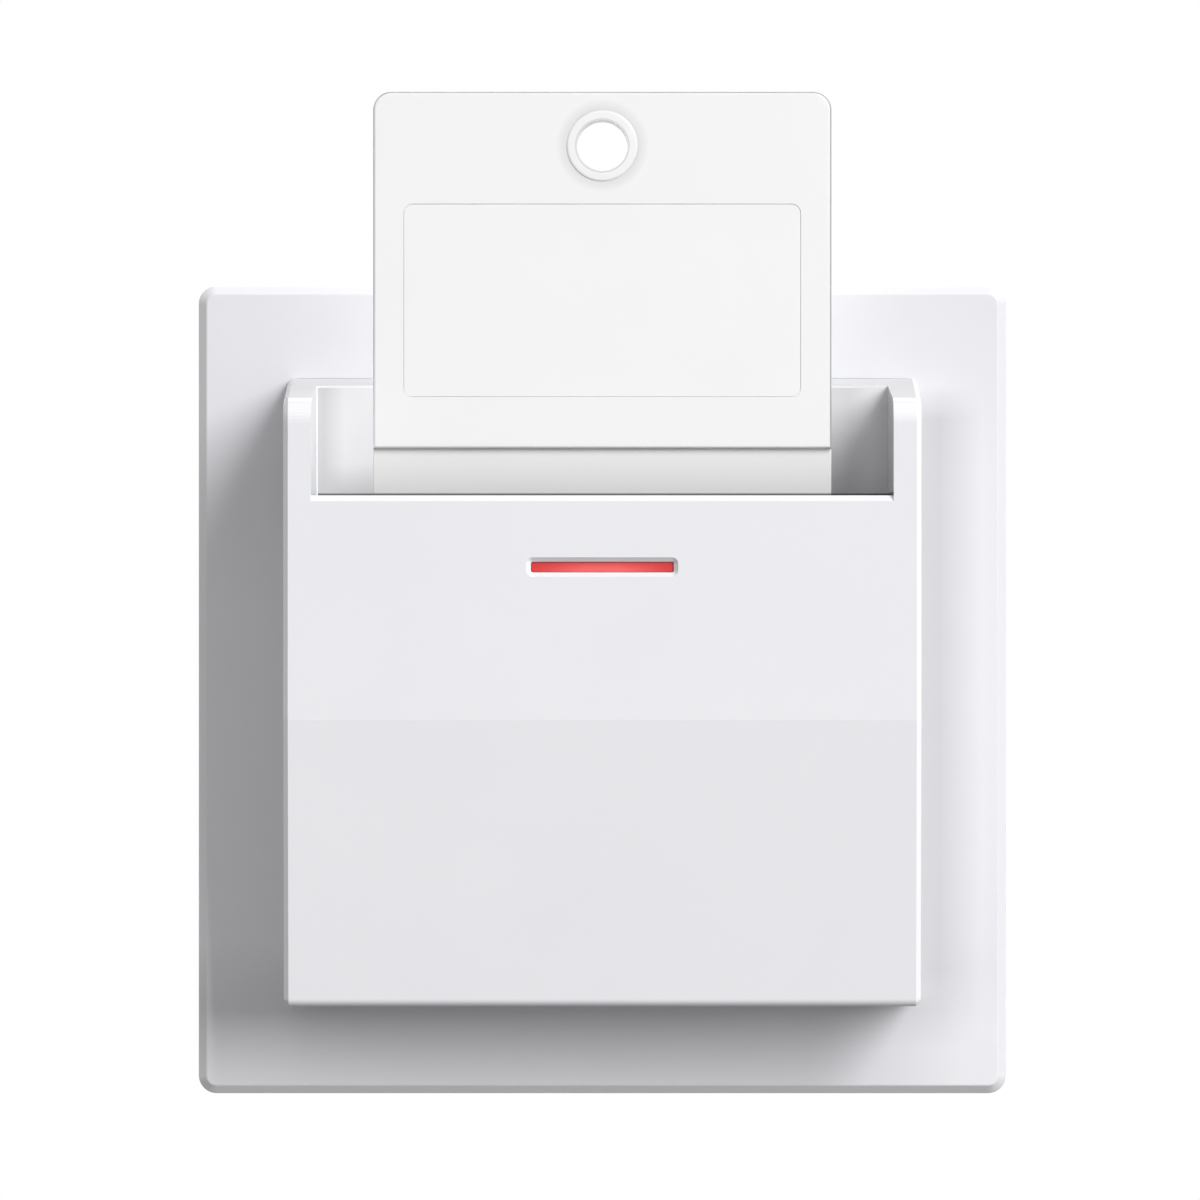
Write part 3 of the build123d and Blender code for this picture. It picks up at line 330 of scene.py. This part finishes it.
def effect_group(name, inputs):
    """A shader node group that puts out a colour, a roughness and a height."""
    tree = bpy.data.node_groups.new(name, "ShaderNodeTree")
    for label, kind, value in inputs:
        socket = tree.interface.new_socket(label, in_out="INPUT", socket_type="NodeSocket" + kind)
        socket.default_value = value
    for label, kind in (("Color", "Color"), ("Roughness", "Float"), ("Height", "Float")):
        tree.interface.new_socket(label, in_out="OUTPUT", socket_type="NodeSocket" + kind)
    given = tree.nodes.new("NodeGroupInput").outputs
    return tree, given, tree.nodes.new("NodeGroupOutput").inputs


def put_out(tree, given, result, colour, wear, height):
    """Feeds the outputs of a group. The wear spreads the roughness to both sides."""
    spread = all_of(tree, add_math(tree, "SUBTRACT", wear, 0.5), given["Spread"])
    tree.links.new(colour, result["Color"])
    tree.links.new(add_math(tree, "ADD", given["Roughness"], spread), result["Roughness"])
    tree.links.new(height, result["Height"])


def moulded_group():
    """Moulded plastic: faint clouds in the colour, the tool's grain and a soft orange peel."""
    peel_scale = 700.0
    tree, given, result = effect_group("moulded plastic", [
        ("Colour", "Color", (1, 1, 1, 1)), ("Shade", "Color", (0.9, 0.9, 0.9, 1)),
        ("Cloud scale", "Float", 90.0), ("Grain scale", "Float", 6000.0),
        ("Roughness", "Float", 0.3), ("Spread", "Float", 0.05)])
    where = object_place(tree)
    cloud = add_range(tree, add_noise(tree, where, given["Cloud scale"]), 0.3, 0.7)
    grain = add_noise(tree, where, given["Grain scale"], 2.0)
    peel = add_noise(tree, where, peel_scale, 1.0)
    colour = add_mix(tree, cloud, given["Colour"], given["Shade"])
    put_out(tree, given, result, colour, cloud, add_math(tree, "ADD", grain, peel))
    return tree


def metal_group():
    """Worked metal: drawn or brushed lines along one way, and patches of tint."""
    tree, given, result = effect_group("worked metal", [
        ("Colour", "Color", (0.6, 0.6, 0.6, 1)), ("Tint", "Color", (0.5, 0.5, 0.45, 1)),
        ("Brush", "Vector", (400.0, 9000.0, 400.0)), ("Patch scale", "Float", 400.0),
        ("Roughness", "Float", 0.35), ("Spread", "Float", 0.15)])
    where = object_place(tree)
    stretched = tree.nodes.new("ShaderNodeVectorMath")
    stretched.operation = "MULTIPLY"
    tree.links.new(where, stretched.inputs[0])
    tree.links.new(given["Brush"], stretched.inputs[1])
    line = add_noise(tree, stretched.outputs[0], 1.0, 4.0)
    patch = add_range(tree, add_noise(tree, where, given["Patch scale"], 5.0), 0.35, 0.65)
    colour = add_mix(tree, patch, given["Colour"], given["Tint"])
    put_out(tree, given, result, colour, line, line)
    return tree


moulded = moulded_group()
worked = metal_group()


# Materials


def shader_inputs(material):
    return material.node_tree.nodes["Principled BSDF"].inputs


def base_material(name, group, values, bump, depth):
    """A material whose colour, roughness and relief come from a group, and that colour."""
    material = bpy.data.materials.new(name)
    material.use_nodes = True
    tree, inputs = material.node_tree, shader_inputs(material)
    effect = tree.nodes.new("ShaderNodeGroup")
    effect.node_tree = group
    for label, value in values.items():
        effect.inputs[label].default_value = value
    relief = tree.nodes.new("ShaderNodeBump")
    relief.inputs["Strength"].default_value = bump
    relief.inputs["Distance"].default_value = depth
    tree.links.new(effect.outputs["Height"], relief.inputs["Height"])
    tree.links.new(effect.outputs["Color"], inputs["Base Color"])
    tree.links.new(effect.outputs["Roughness"], inputs["Roughness"])
    tree.links.new(relief.outputs["Normal"], inputs["Normal"])
    return material, effect.outputs["Color"]


def repaint(material, colour):
    """Gives a material another colour, which changes over the piece."""
    material.node_tree.links.new(colour, shader_inputs(material)["Base Color"])
    return material


def plastic(name, colour, shade, roughness, spread, grain=6000.0, cloud=90.0, bump=0.1,
            depth=0.01 * mm):
    """Moulded plastic of one colour."""
    values = {"Colour": with_alpha(colour), "Shade": with_alpha(shade), "Roughness": roughness,
              "Spread": spread, "Grain scale": grain, "Cloud scale": cloud}
    return base_material(name, moulded, values, bump, depth)


def metal(name, colour, tint, roughness, spread, brush):
    """Bare or plated metal."""
    patch_scale, bump, depth = 400.0, 0.15, 0.01 * mm
    values = {"Colour": with_alpha(colour), "Tint": with_alpha(tint), "Roughness": roughness,
              "Spread": spread, "Brush": brush, "Patch scale": patch_scale}
    material, _ = base_material(name, worked, values, bump, depth)
    shader_inputs(material)["Metallic"].default_value = 1.0
    return material


def gloss_white(name, colour, shade):
    """Polished white thermoplastic."""
    material, colour = plastic(name, colour, shade, 0.24, 0.04, cloud=60.0, bump=0.03)
    shader_inputs(material)["Specular IOR Level"].default_value = 0.38
    return material, colour


def frame_white():
    """The frame's white, with painted light on its shaded left strip and lower right corner, its
    bevel painted darker where lit and lighter where shaded, and painted shade round the cover.
    """
    material, colour = gloss_white("frame white", (0.8, 0.8, 0.83), (0.785, 0.785, 0.817))
    tree = material.node_tree
    place, facing = separate(tree, "Object"), separate(tree, "Normal")
    # Painted light: the left strip and the lower right corner, which the cover shades, are painted
    # lighter.
    left = soft_patch(tree, place, ("X", -20.0, -31.0), ("Z", 20.0, 8.0), ("Z", -40.0, -33.0))
    corner = soft_patch(tree, place, ("X", 28.0, 36.0), ("Z", -28.0, -34.0))
    painted_light_patch = add_math(tree, "MAXIMUM", left, corner)

    # Painted light and shade on the bevel: darker where it faces the light at the upper right,
    # lighter where it faces away.
    flat = gap(tree, facing["Y"])
    bevel = all_of(tree, add_range(tree, flat, 0.95, 0.85), add_range(tree, flat, 0.2, 0.4))
    lift = add_range(tree, to_upper_right(tree, facing["X"], facing["Z"]), -0.3, 0.3)
    painted_bevel_shade = add_mix(tree, lift, (0.93, 0.93, 0.96), (0.82, 0.82, 0.85))

    # Painted shade round the cover: a light one above and below it and a deeper one beside it on
    # the right.
    above = soft_patch(tree, place, ("Z", 40.0, 32.0), ("X", -36.0, -28.0), ("X", 33.0, 26.0),
                       ("Z", 25.0, 31.0))
    below = soft_patch(tree, place, ("Z", -40.0, -32.0), ("X", 30.0, 10.0), ("Z", -25.0, -31.0))
    beside = soft_patch(tree, place, ("X", 38.0, 33.8), ("X", 18.0, 31.0), ("Z", 30.5, 27.0),
                        ("Z", -36.0, -28.0))
    painted_shade_thin = add_math(tree, "MAXIMUM", above, below)
    return repaint(material, painted(
        tree, colour, (painted_light_patch, (0.87, 0.87, 0.9)), (bevel, painted_bevel_shade),
        (painted_shade_thin, (0.735, 0.735, 0.757)), (beside, (0.59, 0.59, 0.61))))


def cover_white():
    """The cover's white, with painted shade and a painted highlight in its pocket, painted light
    on the sides that face right and painted shade on the wing tops.
    """
    material, colour = gloss_white("cover white", (0.87, 0.87, 0.9), (0.856, 0.856, 0.888))
    tree = material.node_tree
    place, facing = separate(tree, "Object"), separate(tree, "Normal")
    limits = (("X", "LESS_THAN", 28.34), ("X", "GREATER_THAN", -28.2),
              ("Y", "GREATER_THAN", -24.9), ("Z", "GREATER_THAN", 14.0))
    pocket = all_of(tree, *(add_math(tree, side, place[axis], limit * mm)
                            for axis, side, limit in limits))

    # Painted shade in the pocket: darker across its back wall, towards the bottom, on the right
    # wall and the top face, with a painted highlight on the top rim and a painted dark line at the
    # foot.
    left = add_mix(tree, soft_patch(tree, place, ("X", -27.6, -25.6)),
                   (0.58, 0.58, 0.59), (0.757, 0.757, 0.775))
    right = add_mix(tree, soft_patch(tree, place, ("X", 24.5, 26.5)),
                    (0.675, 0.675, 0.69), (0.79, 0.79, 0.81))
    back = add_mix(tree, soft_patch(tree, place, ("X", -10.0, 10.0)), left, right)
    low = soft_patch(tree, place, ("Z", 22.5, 19.8), ("X", 10.0, -10.0))
    right_wall = add_range(tree, facing["X"], -0.3, -0.6)
    rim_highlight = soft_patch(tree, place, ("Z", 30.0, 30.08))
    top = add_range(tree, facing["Z"], 0.4, 0.6)
    foot_shade_line = soft_patch(tree, place, ("Z", 19.62, 19.5))
    core = painted(
        tree, back, (low, (0.565, 0.565, 0.575)), (right_wall, (0.7, 0.7, 0.71)),
        (rim_highlight, (0.86, 0.86, 0.88)), (top, (0.69, 0.69, 0.705)), (foot_shade_line, grey(0.13)))

    # Painted light on the sides that face right and painted shade on the wing tops.
    right_side = add_range(tree, facing["X"], 0.3, 0.6)
    wing_top = add_range(tree, facing["Z"], 0.7, 0.95)
    skin = painted(tree, colour, (right_side, (0.94, 0.94, 0.96)), (wing_top, (0.7, 0.7, 0.72)))
    return repaint(material, add_mix(tree, pocket, skin, core))


def grip_white():
    """Satin white of the card's grip, with painted shade round its ring, painted dark lines round
    the ring and the hole, and edges painted darker where lit and lighter where shaded.
    """
    ring_middle, hole, ring, halo = 53.5 * mm, 2.6 * mm, 3.5 * mm, 4.6 * mm
    material, colour = plastic("grip white", grey(0.93), grey(0.915), 0.42, 0.06, bump=0.05)
    tree = material.node_tree
    place, facing = separate(tree, "Object"), separate(tree, "Normal")
    rise = add_math(tree, "SUBTRACT", place["Z"], ring_middle)
    squares = [add_math(tree, "MULTIPLY", side, side) for side in (place["X"], rise)]
    away = add_math(tree, "SQRT", add_math(tree, "ADD", *squares))
    # Painted shade in a soft band round the raised ring.
    painted_ring_shade = all_of(tree, add_range(tree, away, halo, ring), add_range(tree, away, 3.3 * mm, ring))

    # Painted dark lines round the hole and the ring, the ring's line darker on the side towards
    # the light at the upper right.
    slant = add_range(tree, to_upper_right(tree, place["X"], rise), -1.0 * mm, 1.0 * mm)
    foot = add_mix(tree, slant, grey(0.86), grey(0.66))
    lines = [(add_range(tree, gap(tree, away, radius), 0.1 * mm, 0.04 * mm), paint)
             for radius, paint in ((hole, grey(0.7)), (ring, foot))]

    # Painted light and shade on the edges: darker where they face the light at the upper right,
    # lighter where they face away.
    edge = all_of(tree, add_range(tree, gap(tree, facing["Y"]), 0.95, 0.8),
                  add_range(tree, away, 3.6 * mm, 3.8 * mm))
    lift = add_range(tree, to_upper_right(tree, facing["X"], facing["Z"]), -0.3, 0.3)
    painted_edge_shade = add_mix(tree, lift, grey(0.92), grey(0.38))
    return repaint(material, painted(tree, colour, (painted_ring_shade, grey(0.77)), *lines, (edge, painted_edge_shade)))


def blade_white():
    """Satin white of the card's blade, with painted shade that grows darker towards the sill and a
    painted dark line at the sill.
    """
    sill_height, blade_front = 19.32 * mm, -20.3 * mm
    material, colour = plastic("blade white", grey(0.86), grey(0.845), 0.45, 0.08, bump=0.08)
    tree = material.node_tree
    place = separate(tree, "Object")
    # Painted shade: darker towards the sill, and a dark line on the front where the sill meets the
    # blade.
    painted_low_shade = soft_patch(tree, place, ("Z", 23.5, 19.9))
    front = add_math(tree, "LESS_THAN", place["Y"], blade_front)
    line = add_range(tree, gap(tree, place["Z"], sill_height), 0.2 * mm, 0.08 * mm)
    painted_sill_line = all_of(tree, front, line)
    return repaint(material, painted(tree, colour, (painted_low_shade, grey(0.71)), (painted_sill_line, grey(0.14))))


def red_lens():
    """Clear red window, painted lighter in its lower middle as if lit from behind, and painted
    darker at its ends and top where its recess shades it.
    """
    material, _ = plastic("red lens", (0.8, 0.06, 0.06), (0.72, 0.04, 0.04), 0.12, 0.03, bump=0.05)
    tree = material.node_tree
    place = separate(tree, "Object")
    # Painted light and shade: a painted glow in the lower middle, darker towards the ends and the
    # top.
    painted_glow = add_range(tree, gap(tree, place["X"]), 7.4 * mm, 1.5 * mm)
    painted_top_shade = add_math(tree, "ADD", soft_patch(tree, place, ("Z", 12.8, 11.6)), 0.3)
    lit = all_of(tree, painted_glow, painted_top_shade)
    return repaint(material, add_mix(tree, lit, (0.66, 0.014, 0.02), (0.92, 0.13, 0.125)))


def board_green():
    """Lacquered board, with tracks that show through the green."""
    material, colour = plastic(
        "board green", (0.03, 0.2, 0.07), (0.025, 0.17, 0.06), 0.25, 0.08, bump=0.1)
    tree = material.node_tree
    wave = tree.nodes.new("ShaderNodeTexWave")
    wave.bands_direction = "Z"
    wave.inputs["Scale"].default_value = 160.0
    wave.inputs["Distortion"].default_value = 0.0
    tree.links.new(object_place(tree), wave.inputs["Vector"])
    track = add_range(tree, wave.outputs["Fac"], 0.72, 0.76)
    return repaint(material, add_mix(tree, track, colour, (0.06, 0.33, 0.11)))


def lamp_red():
    """Red resin of the lamp, which lets light through."""
    material, _ = plastic("lamp red", (0.75, 0.05, 0.05), (0.6, 0.03, 0.03), 0.08, 0.02, bump=0.03)
    shader_inputs(material)["Transmission Weight"].default_value = 0.6
    return material


def resistor_tan():
    """Tan lacquer with four plain colour bands."""
    band_half = 0.2 * mm
    bands = ((-1.5, (0.45, 0.03, 0.02)), (-0.7, (0.05, 0.05, 0.3)), (0.1, (0.5, 0.3, 0.02)),
             (1.4, (0.6, 0.42, 0.1)))
    material, colour = plastic(
        "resistor tan", (0.6, 0.47, 0.3), (0.54, 0.42, 0.26), 0.3, 0.06, bump=0.2)
    tree = material.node_tree
    place = separate(tree, "Object")
    low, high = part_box("lamp_resistor")
    middle = (low.x + high.x) / 2
    rings = [(add_math(tree, "LESS_THAN", gap(tree, place["X"], middle + step * mm), band_half),
              paint) for step, paint in bands]
    return repaint(material, painted(tree, colour, *rings))


# Plain plastics: colour, its shade, roughness and how far it spreads, then what differs
plain_plastics = {
    "label white": (grey(0.93), grey(0.915), 0.55, 0.08, {"grain": 9000.0, "bump": 0.12}),
    "guide white": ((0.78, 0.78, 0.79), (0.73, 0.73, 0.74), 0.45, 0.08, {"bump": 0.25}),
    "lever grey": ((0.3, 0.31, 0.33), (0.26, 0.27, 0.29), 0.4, 0.08, {"bump": 0.2}),
    "housing grey": ((0.55, 0.56, 0.58), (0.5, 0.51, 0.53), 0.5, 0.1,
                     {"grain": 3000.0, "bump": 0.5, "depth": 0.02 * mm}),
}
# Metals: colour, tint of the patches, roughness and how far it spreads, then the brushed lines
metals = {
    "yoke steel": ((0.6, 0.6, 0.58), (0.52, 0.53, 0.54), 0.38, 0.2, (300.0, 300.0, 7000.0)),
    "spring steel": ((0.52, 0.52, 0.54), (0.44, 0.44, 0.46), 0.28, 0.15, (5000.0, 900.0, 900.0)),
    "screw steel": ((0.68, 0.66, 0.6), (0.6, 0.57, 0.47), 0.3, 0.15, (3000.0, 400.0, 3000.0)),
    "claw steel": ((0.56, 0.56, 0.55), (0.48, 0.48, 0.47), 0.42, 0.2, (300.0, 7000.0, 300.0)),
    "contact brass": ((0.75, 0.54, 0.24), (0.62, 0.41, 0.17), 0.32, 0.2, (500.0, 500.0, 6000.0)),
    "contact silver": ((0.82, 0.82, 0.8), (0.66, 0.64, 0.6), 0.3, 0.2, (4000.0, 500.0, 4000.0)),
}
finishes = {
    "white_gloss": cover_white(), "red_lens": red_lens(), "card_white": grip_white(),
    "board_green": board_green(), "led_red": lamp_red(), "resistor_tan": resistor_tan(),
}
for name, (*values, others) in plain_plastics.items():
    finishes[name.replace(" ", "_")] = plastic(name, *values, **others)[0]
for name, values in metals.items():
    finishes[name.replace(" ", "_")] = metal(name, *values)
own_finishes = {"decorative_frame": frame_white(), "card_blade": blade_white()}
slot_of_node = {part["node"]: part["material_slot"] for part in frame["record"]["subparts"]}


def finish_of(node):
    """The finish of a node: its own, or the one that its slot shares."""
    return own_finishes.get(node) or finishes[slot_of_node[node]]


def dress(piece, node):
    """Gives a piece the finish of the node that it replaces."""
    piece.data.materials.clear()
    piece.data.materials.append(finish_of(node))


# Pieces


def frame_moulding():
    """The frame, with its window drawn in to the cover as the moulded one is."""
    window_half, drawn_half = 31.8, 31.49
    inner_width, inner_height = 31.9 * mm, 31.6 * mm
    fit = drawn_half / window_half
    bm = merged("decorative_frame")
    inner = [vertex for vertex in bm.verts
             if abs(vertex.co.x) < inner_width and abs(vertex.co.z) < inner_height]
    bmesh.ops.scale(bm, vec=(fit, 1, fit), verts=inner)
    soft_piece("frame_moulding", "decorative_frame", bm, 0.08 * mm)


def cover_moulding():
    """The front cover, with the pocket's sill a little higher than in the solid."""
    sill_rise = 0.57 * mm
    sill_front, sill_low, sill_high, sill_half = -23.4 * mm, 17.9 * mm, 18.7 * mm, 28.5 * mm
    bm = merged("front_cover")
    sill = [vertex for vertex in bm.verts if vertex.co.y < sill_front
            and sill_low < vertex.co.z < sill_high and abs(vertex.co.x) < sill_half]
    bmesh.ops.translate(bm, vec=(0, 0, sill_rise), verts=sill)
    mesh = finished_mesh("cover_moulding", bm, smooth=False)
    dress(link_piece("cover_moulding", mesh, "front_cover"), "front_cover")


def grip_moulding():
    """The card's grip, with a low ring and its foot a little lower than in the solid."""
    face, back = -21.2 * mm, -18.8 * mm
    ring_share = 0.3
    foot_height, foot_drop = 24.6 * mm, 0.15 * mm
    bm = merged("card_grip")
    for vertex in bm.verts:
        if vertex.co.y < face:
            vertex.co.y = face + (vertex.co.y - face) * ring_share
        if vertex.co.y > back:
            vertex.co.y = back + (vertex.co.y - back) * ring_share
    foot = [vertex for vertex in bm.verts if vertex.co.z < foot_height]
    bmesh.ops.translate(bm, vec=(0, 0, -foot_drop), verts=foot)
    piece = link_piece("grip_moulding", finished_mesh("grip_moulding", bm), "card_grip")
    even_faces(piece)
    dress(piece, "card_grip")


def label_sheet():
    """The writing label, tight in its recess and nearly flush with the grip."""
    middle = 38.35 * mm
    half_width, half_height, growth = 19.37, 9.37, 0.05
    behind_front, front = -21.0 * mm, -21.14 * mm
    grow = ((half_width + growth) / half_width, 1, (half_height + growth) / half_height)
    bm = merged("card_label")
    bmesh.ops.scale(bm, vec=grow, space=Matrix.Translation((0, 0, -middle)), verts=bm.verts)
    for vertex in bm.verts:
        if vertex.co.y < behind_front:
            vertex.co.y = front
    mesh = finished_mesh("label_sheet", bm)
    dress(link_piece("label_sheet", mesh, "card_label"), "card_label")


frame_moulding()
cover_moulding()
grip_moulding()
label_sheet()

# Pieces with rounded edges, and the width of these
soft_parts = {
    "card_moulding": ("card_blade", 0.06), "guide_moulding": ("card_guide", 0.08),
    "yoke_pressing": ("mounting_yoke", 0.08), "cap_moulding": ("switch_cap", 0.1),
    "base_moulding": ("switch_base", 0.1), "claw_pressing_right": ("claw_right", 0.08),
    "claw_pressing_left": ("claw_left", 0.08),
}
for name, (node, width) in soft_parts.items():
    soft_piece(name, node, merged(node), width * mm)

# Screws: height and radius of the head, radius and pitch of the thread, then x and z of each
screws = {
    "claw_screw_right": ((2.2, 2.75, 1.5, 0.5), {"right": (25.8, -8.0)}),
    "claw_screw_left": ((2.2, 2.75, 1.5, 0.5), {"left": (-25.8, -8.0)}),
    "guide_screws": ((2.0, 2.7, 1.5, 0.5), {"right": (24.0, 10.5), "left": (-24.0, 10.5)}),
    "cap_screws": ((1.6, 2.4, 1.1, 0.45), {"right": (13.5, 16.2), "left": (-13.5, 16.2)}),
    "terminal_screws": ((2.2, 3.1, 1.7, 0.6),
                        {"line": (0.0, 14.2), "load": (-9.0, -14.2), "neutral": (9.0, -14.2)}),
}
for node, (lengths, places) in screws.items():
    low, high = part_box(node)
    face, tip = (high.y, low.y) if node == "terminal_screws" else (low.y, high.y)
    for place, (x, z) in places.items():
        name = f"{node}_turned" if len(places) == 1 else f"{node}_{place}_turned"
        screw(name, node, x * mm, z * mm, face, tip, *(length * mm for length in lengths))

mouldings = {"decorative_frame", "front_cover", "card_grip", "card_label"}
replaced = mouldings | {node for node, width in soft_parts.values()} | set(screws)
for node, solid in frame["nodes"].items():
    if node not in replaced:
        solid.material_slots[0].material = finish_of(node)


# Floor, backdrop, lights and camera


def white_for_the_eye(tree, shading, share):
    """Mixes plain white into what camera, glossy and transmission rays see of a surface."""
    path = tree.nodes.new("ShaderNodeLightPath")
    seen = add_math(tree, "MAXIMUM", path.outputs["Is Camera Ray"], path.outputs["Is Glossy Ray"])
    seen = add_math(tree, "MAXIMUM", seen, path.outputs["Is Transmission Ray"])
    kind = "Background" if shading.node.type == "BACKGROUND" else "Emission"
    white = tree.nodes.new("ShaderNode" + kind)
    white.inputs["Color"].default_value = with_alpha(grey(1.0))
    white.inputs["Strength"].default_value = 1.0
    mix = tree.nodes.new("ShaderNodeMixShader")
    tree.links.new(all_of(tree, seen, share), mix.inputs[0])
    tree.links.new(shading, mix.inputs[1])
    tree.links.new(white.outputs[0], mix.inputs[2])
    return mix.outputs[0]


def backdrop(strength):
    """An even surround, white for the eye, that lights the object at a plain level."""
    world = bpy.data.worlds.new("studio")
    bpy.context.scene.world = world
    world.use_nodes = True
    tree = world.node_tree
    ground = tree.nodes["Background"]
    ground.inputs["Color"].default_value = with_alpha(grey(1.0))
    ground.inputs["Strength"].default_value = strength
    surface = white_for_the_eye(tree, ground.outputs[0], 1.0)
    tree.links.new(surface, tree.nodes["World Output"].inputs["Surface"])


def floor(drop, reach):
    """A plain pale floor under the switch, which turns to white away from it."""
    near, far, least_white = 0.3, 0.7, 0.5
    bm = bmesh.new()
    bmesh.ops.create_grid(bm, x_segments=1, y_segments=1, size=reach)
    bmesh.ops.translate(bm, vec=(0, 0, -drop), verts=bm.verts)
    plane = bpy.data.objects.new("floor", finished_mesh("floor", bm))
    bpy.context.scene.collection.objects.link(plane)
    material = bpy.data.materials.new("pale floor")
    material.use_nodes = True
    tree = material.node_tree
    shader = tree.nodes["Principled BSDF"]
    shader.inputs["Roughness"].default_value = 0.7
    path = tree.nodes.new("ShaderNodeLightPath")
    paint = add_mix(tree, path.outputs["Is Camera Ray"], grey(0.12), (0.85, 0.85, 0.86))
    repaint(material, paint)
    away = tree.nodes.new("ShaderNodeVectorMath")
    away.operation = "LENGTH"
    tree.links.new(object_place(tree), away.inputs[0])
    fade = add_range(tree, away.outputs["Value"], near, far)
    share = add_math(tree, "MAXIMUM", fade, least_white)
    surface = white_for_the_eye(tree, shader.outputs[0], share)
    tree.links.new(surface, tree.nodes["Material Output"].inputs["Surface"])
    plane.data.materials.append(material)


def softbox(name, direction, width, height, strength):
    """A lamp that faces the switch and gives it the strength in watts per square metre."""
    distance = 3.0
    light = bpy.data.lights.new(name, "AREA")
    light.shape = "RECTANGLE"
    light.size = width
    light.size_y = height
    light.energy = strength * pi * distance ** 2
    lamp = bpy.data.objects.new(name, light)
    away = Vector(direction).normalized()
    turn = away.to_track_quat("Z", "Y").to_matrix().to_4x4()
    lamp.matrix_world = Matrix.Translation(away * distance) @ turn
    bpy.context.scene.collection.objects.link(lamp)
    return lamp


def linked(name, pieces, state):
    """A group of pieces that a lamp serves alone, or leaves out."""
    group = bpy.data.collections.new(name)
    for piece in pieces:
        group.objects.link(piece)
    for entry in group.collection_objects:
        entry.light_linking.link_state = state
    return group


def camera():
    """The photograph's view: straight on and level, a little above the middle of the frame."""
    eye_distance = 525.5 * mm
    eye_height = 9.0 * mm
    focal_pixels = 5150
    image_side = 1200
    view_right = 2.3
    data = bpy.data.cameras.new("camera")
    data.sensor_width = 36.0
    data.lens = focal_pixels / image_side * data.sensor_width
    data.shift_x = -view_right / image_side
    data.clip_start = 10 * mm
    eye = bpy.data.objects.new("camera", data)
    place = Matrix.Translation((0, -eye_distance, eye_height))
    eye.matrix_world = place @ Matrix.Rotation(pi / 2, 4, "X")
    bpy.context.scene.collection.objects.link(eye)
    bpy.context.scene.camera = eye


backdrop(strength=0.44)
floor(drop=160 * mm, reach=6.0)
key_light = {"direction": (0.52, -0.74, 0.43), "width": 0.6, "height": 2.2, "strength": 2.72}
card_lamp = softbox("key light on the card", **key_light)
housing_lamp = softbox("key light on the housing", **key_light)
softbox("top light", (0.1, -0.6, 0.8), width=1.6, height=1.6, strength=0.15)
softbox("rear light", (0.15, 0.72, 0.7), width=2.0, height=2.0, strength=1.3)

# The card stands clear of the frame in the photograph, and the key light throws no shadow of it
card = [piece for piece in bpy.data.objects
        if piece.get("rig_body") == "key_card" and piece.type == "MESH"]
card_lamp.light_linking.receiver_collection = linked("card", card, "INCLUDE")
linking = housing_lamp.light_linking
linking.receiver_collection = linked("all but the card", card, "EXCLUDE")
linking.blocker_collection = linked("no shadow of the card", card, "EXCLUDE")
camera()
bpy.context.scene.view_settings.view_transform = "Standard"
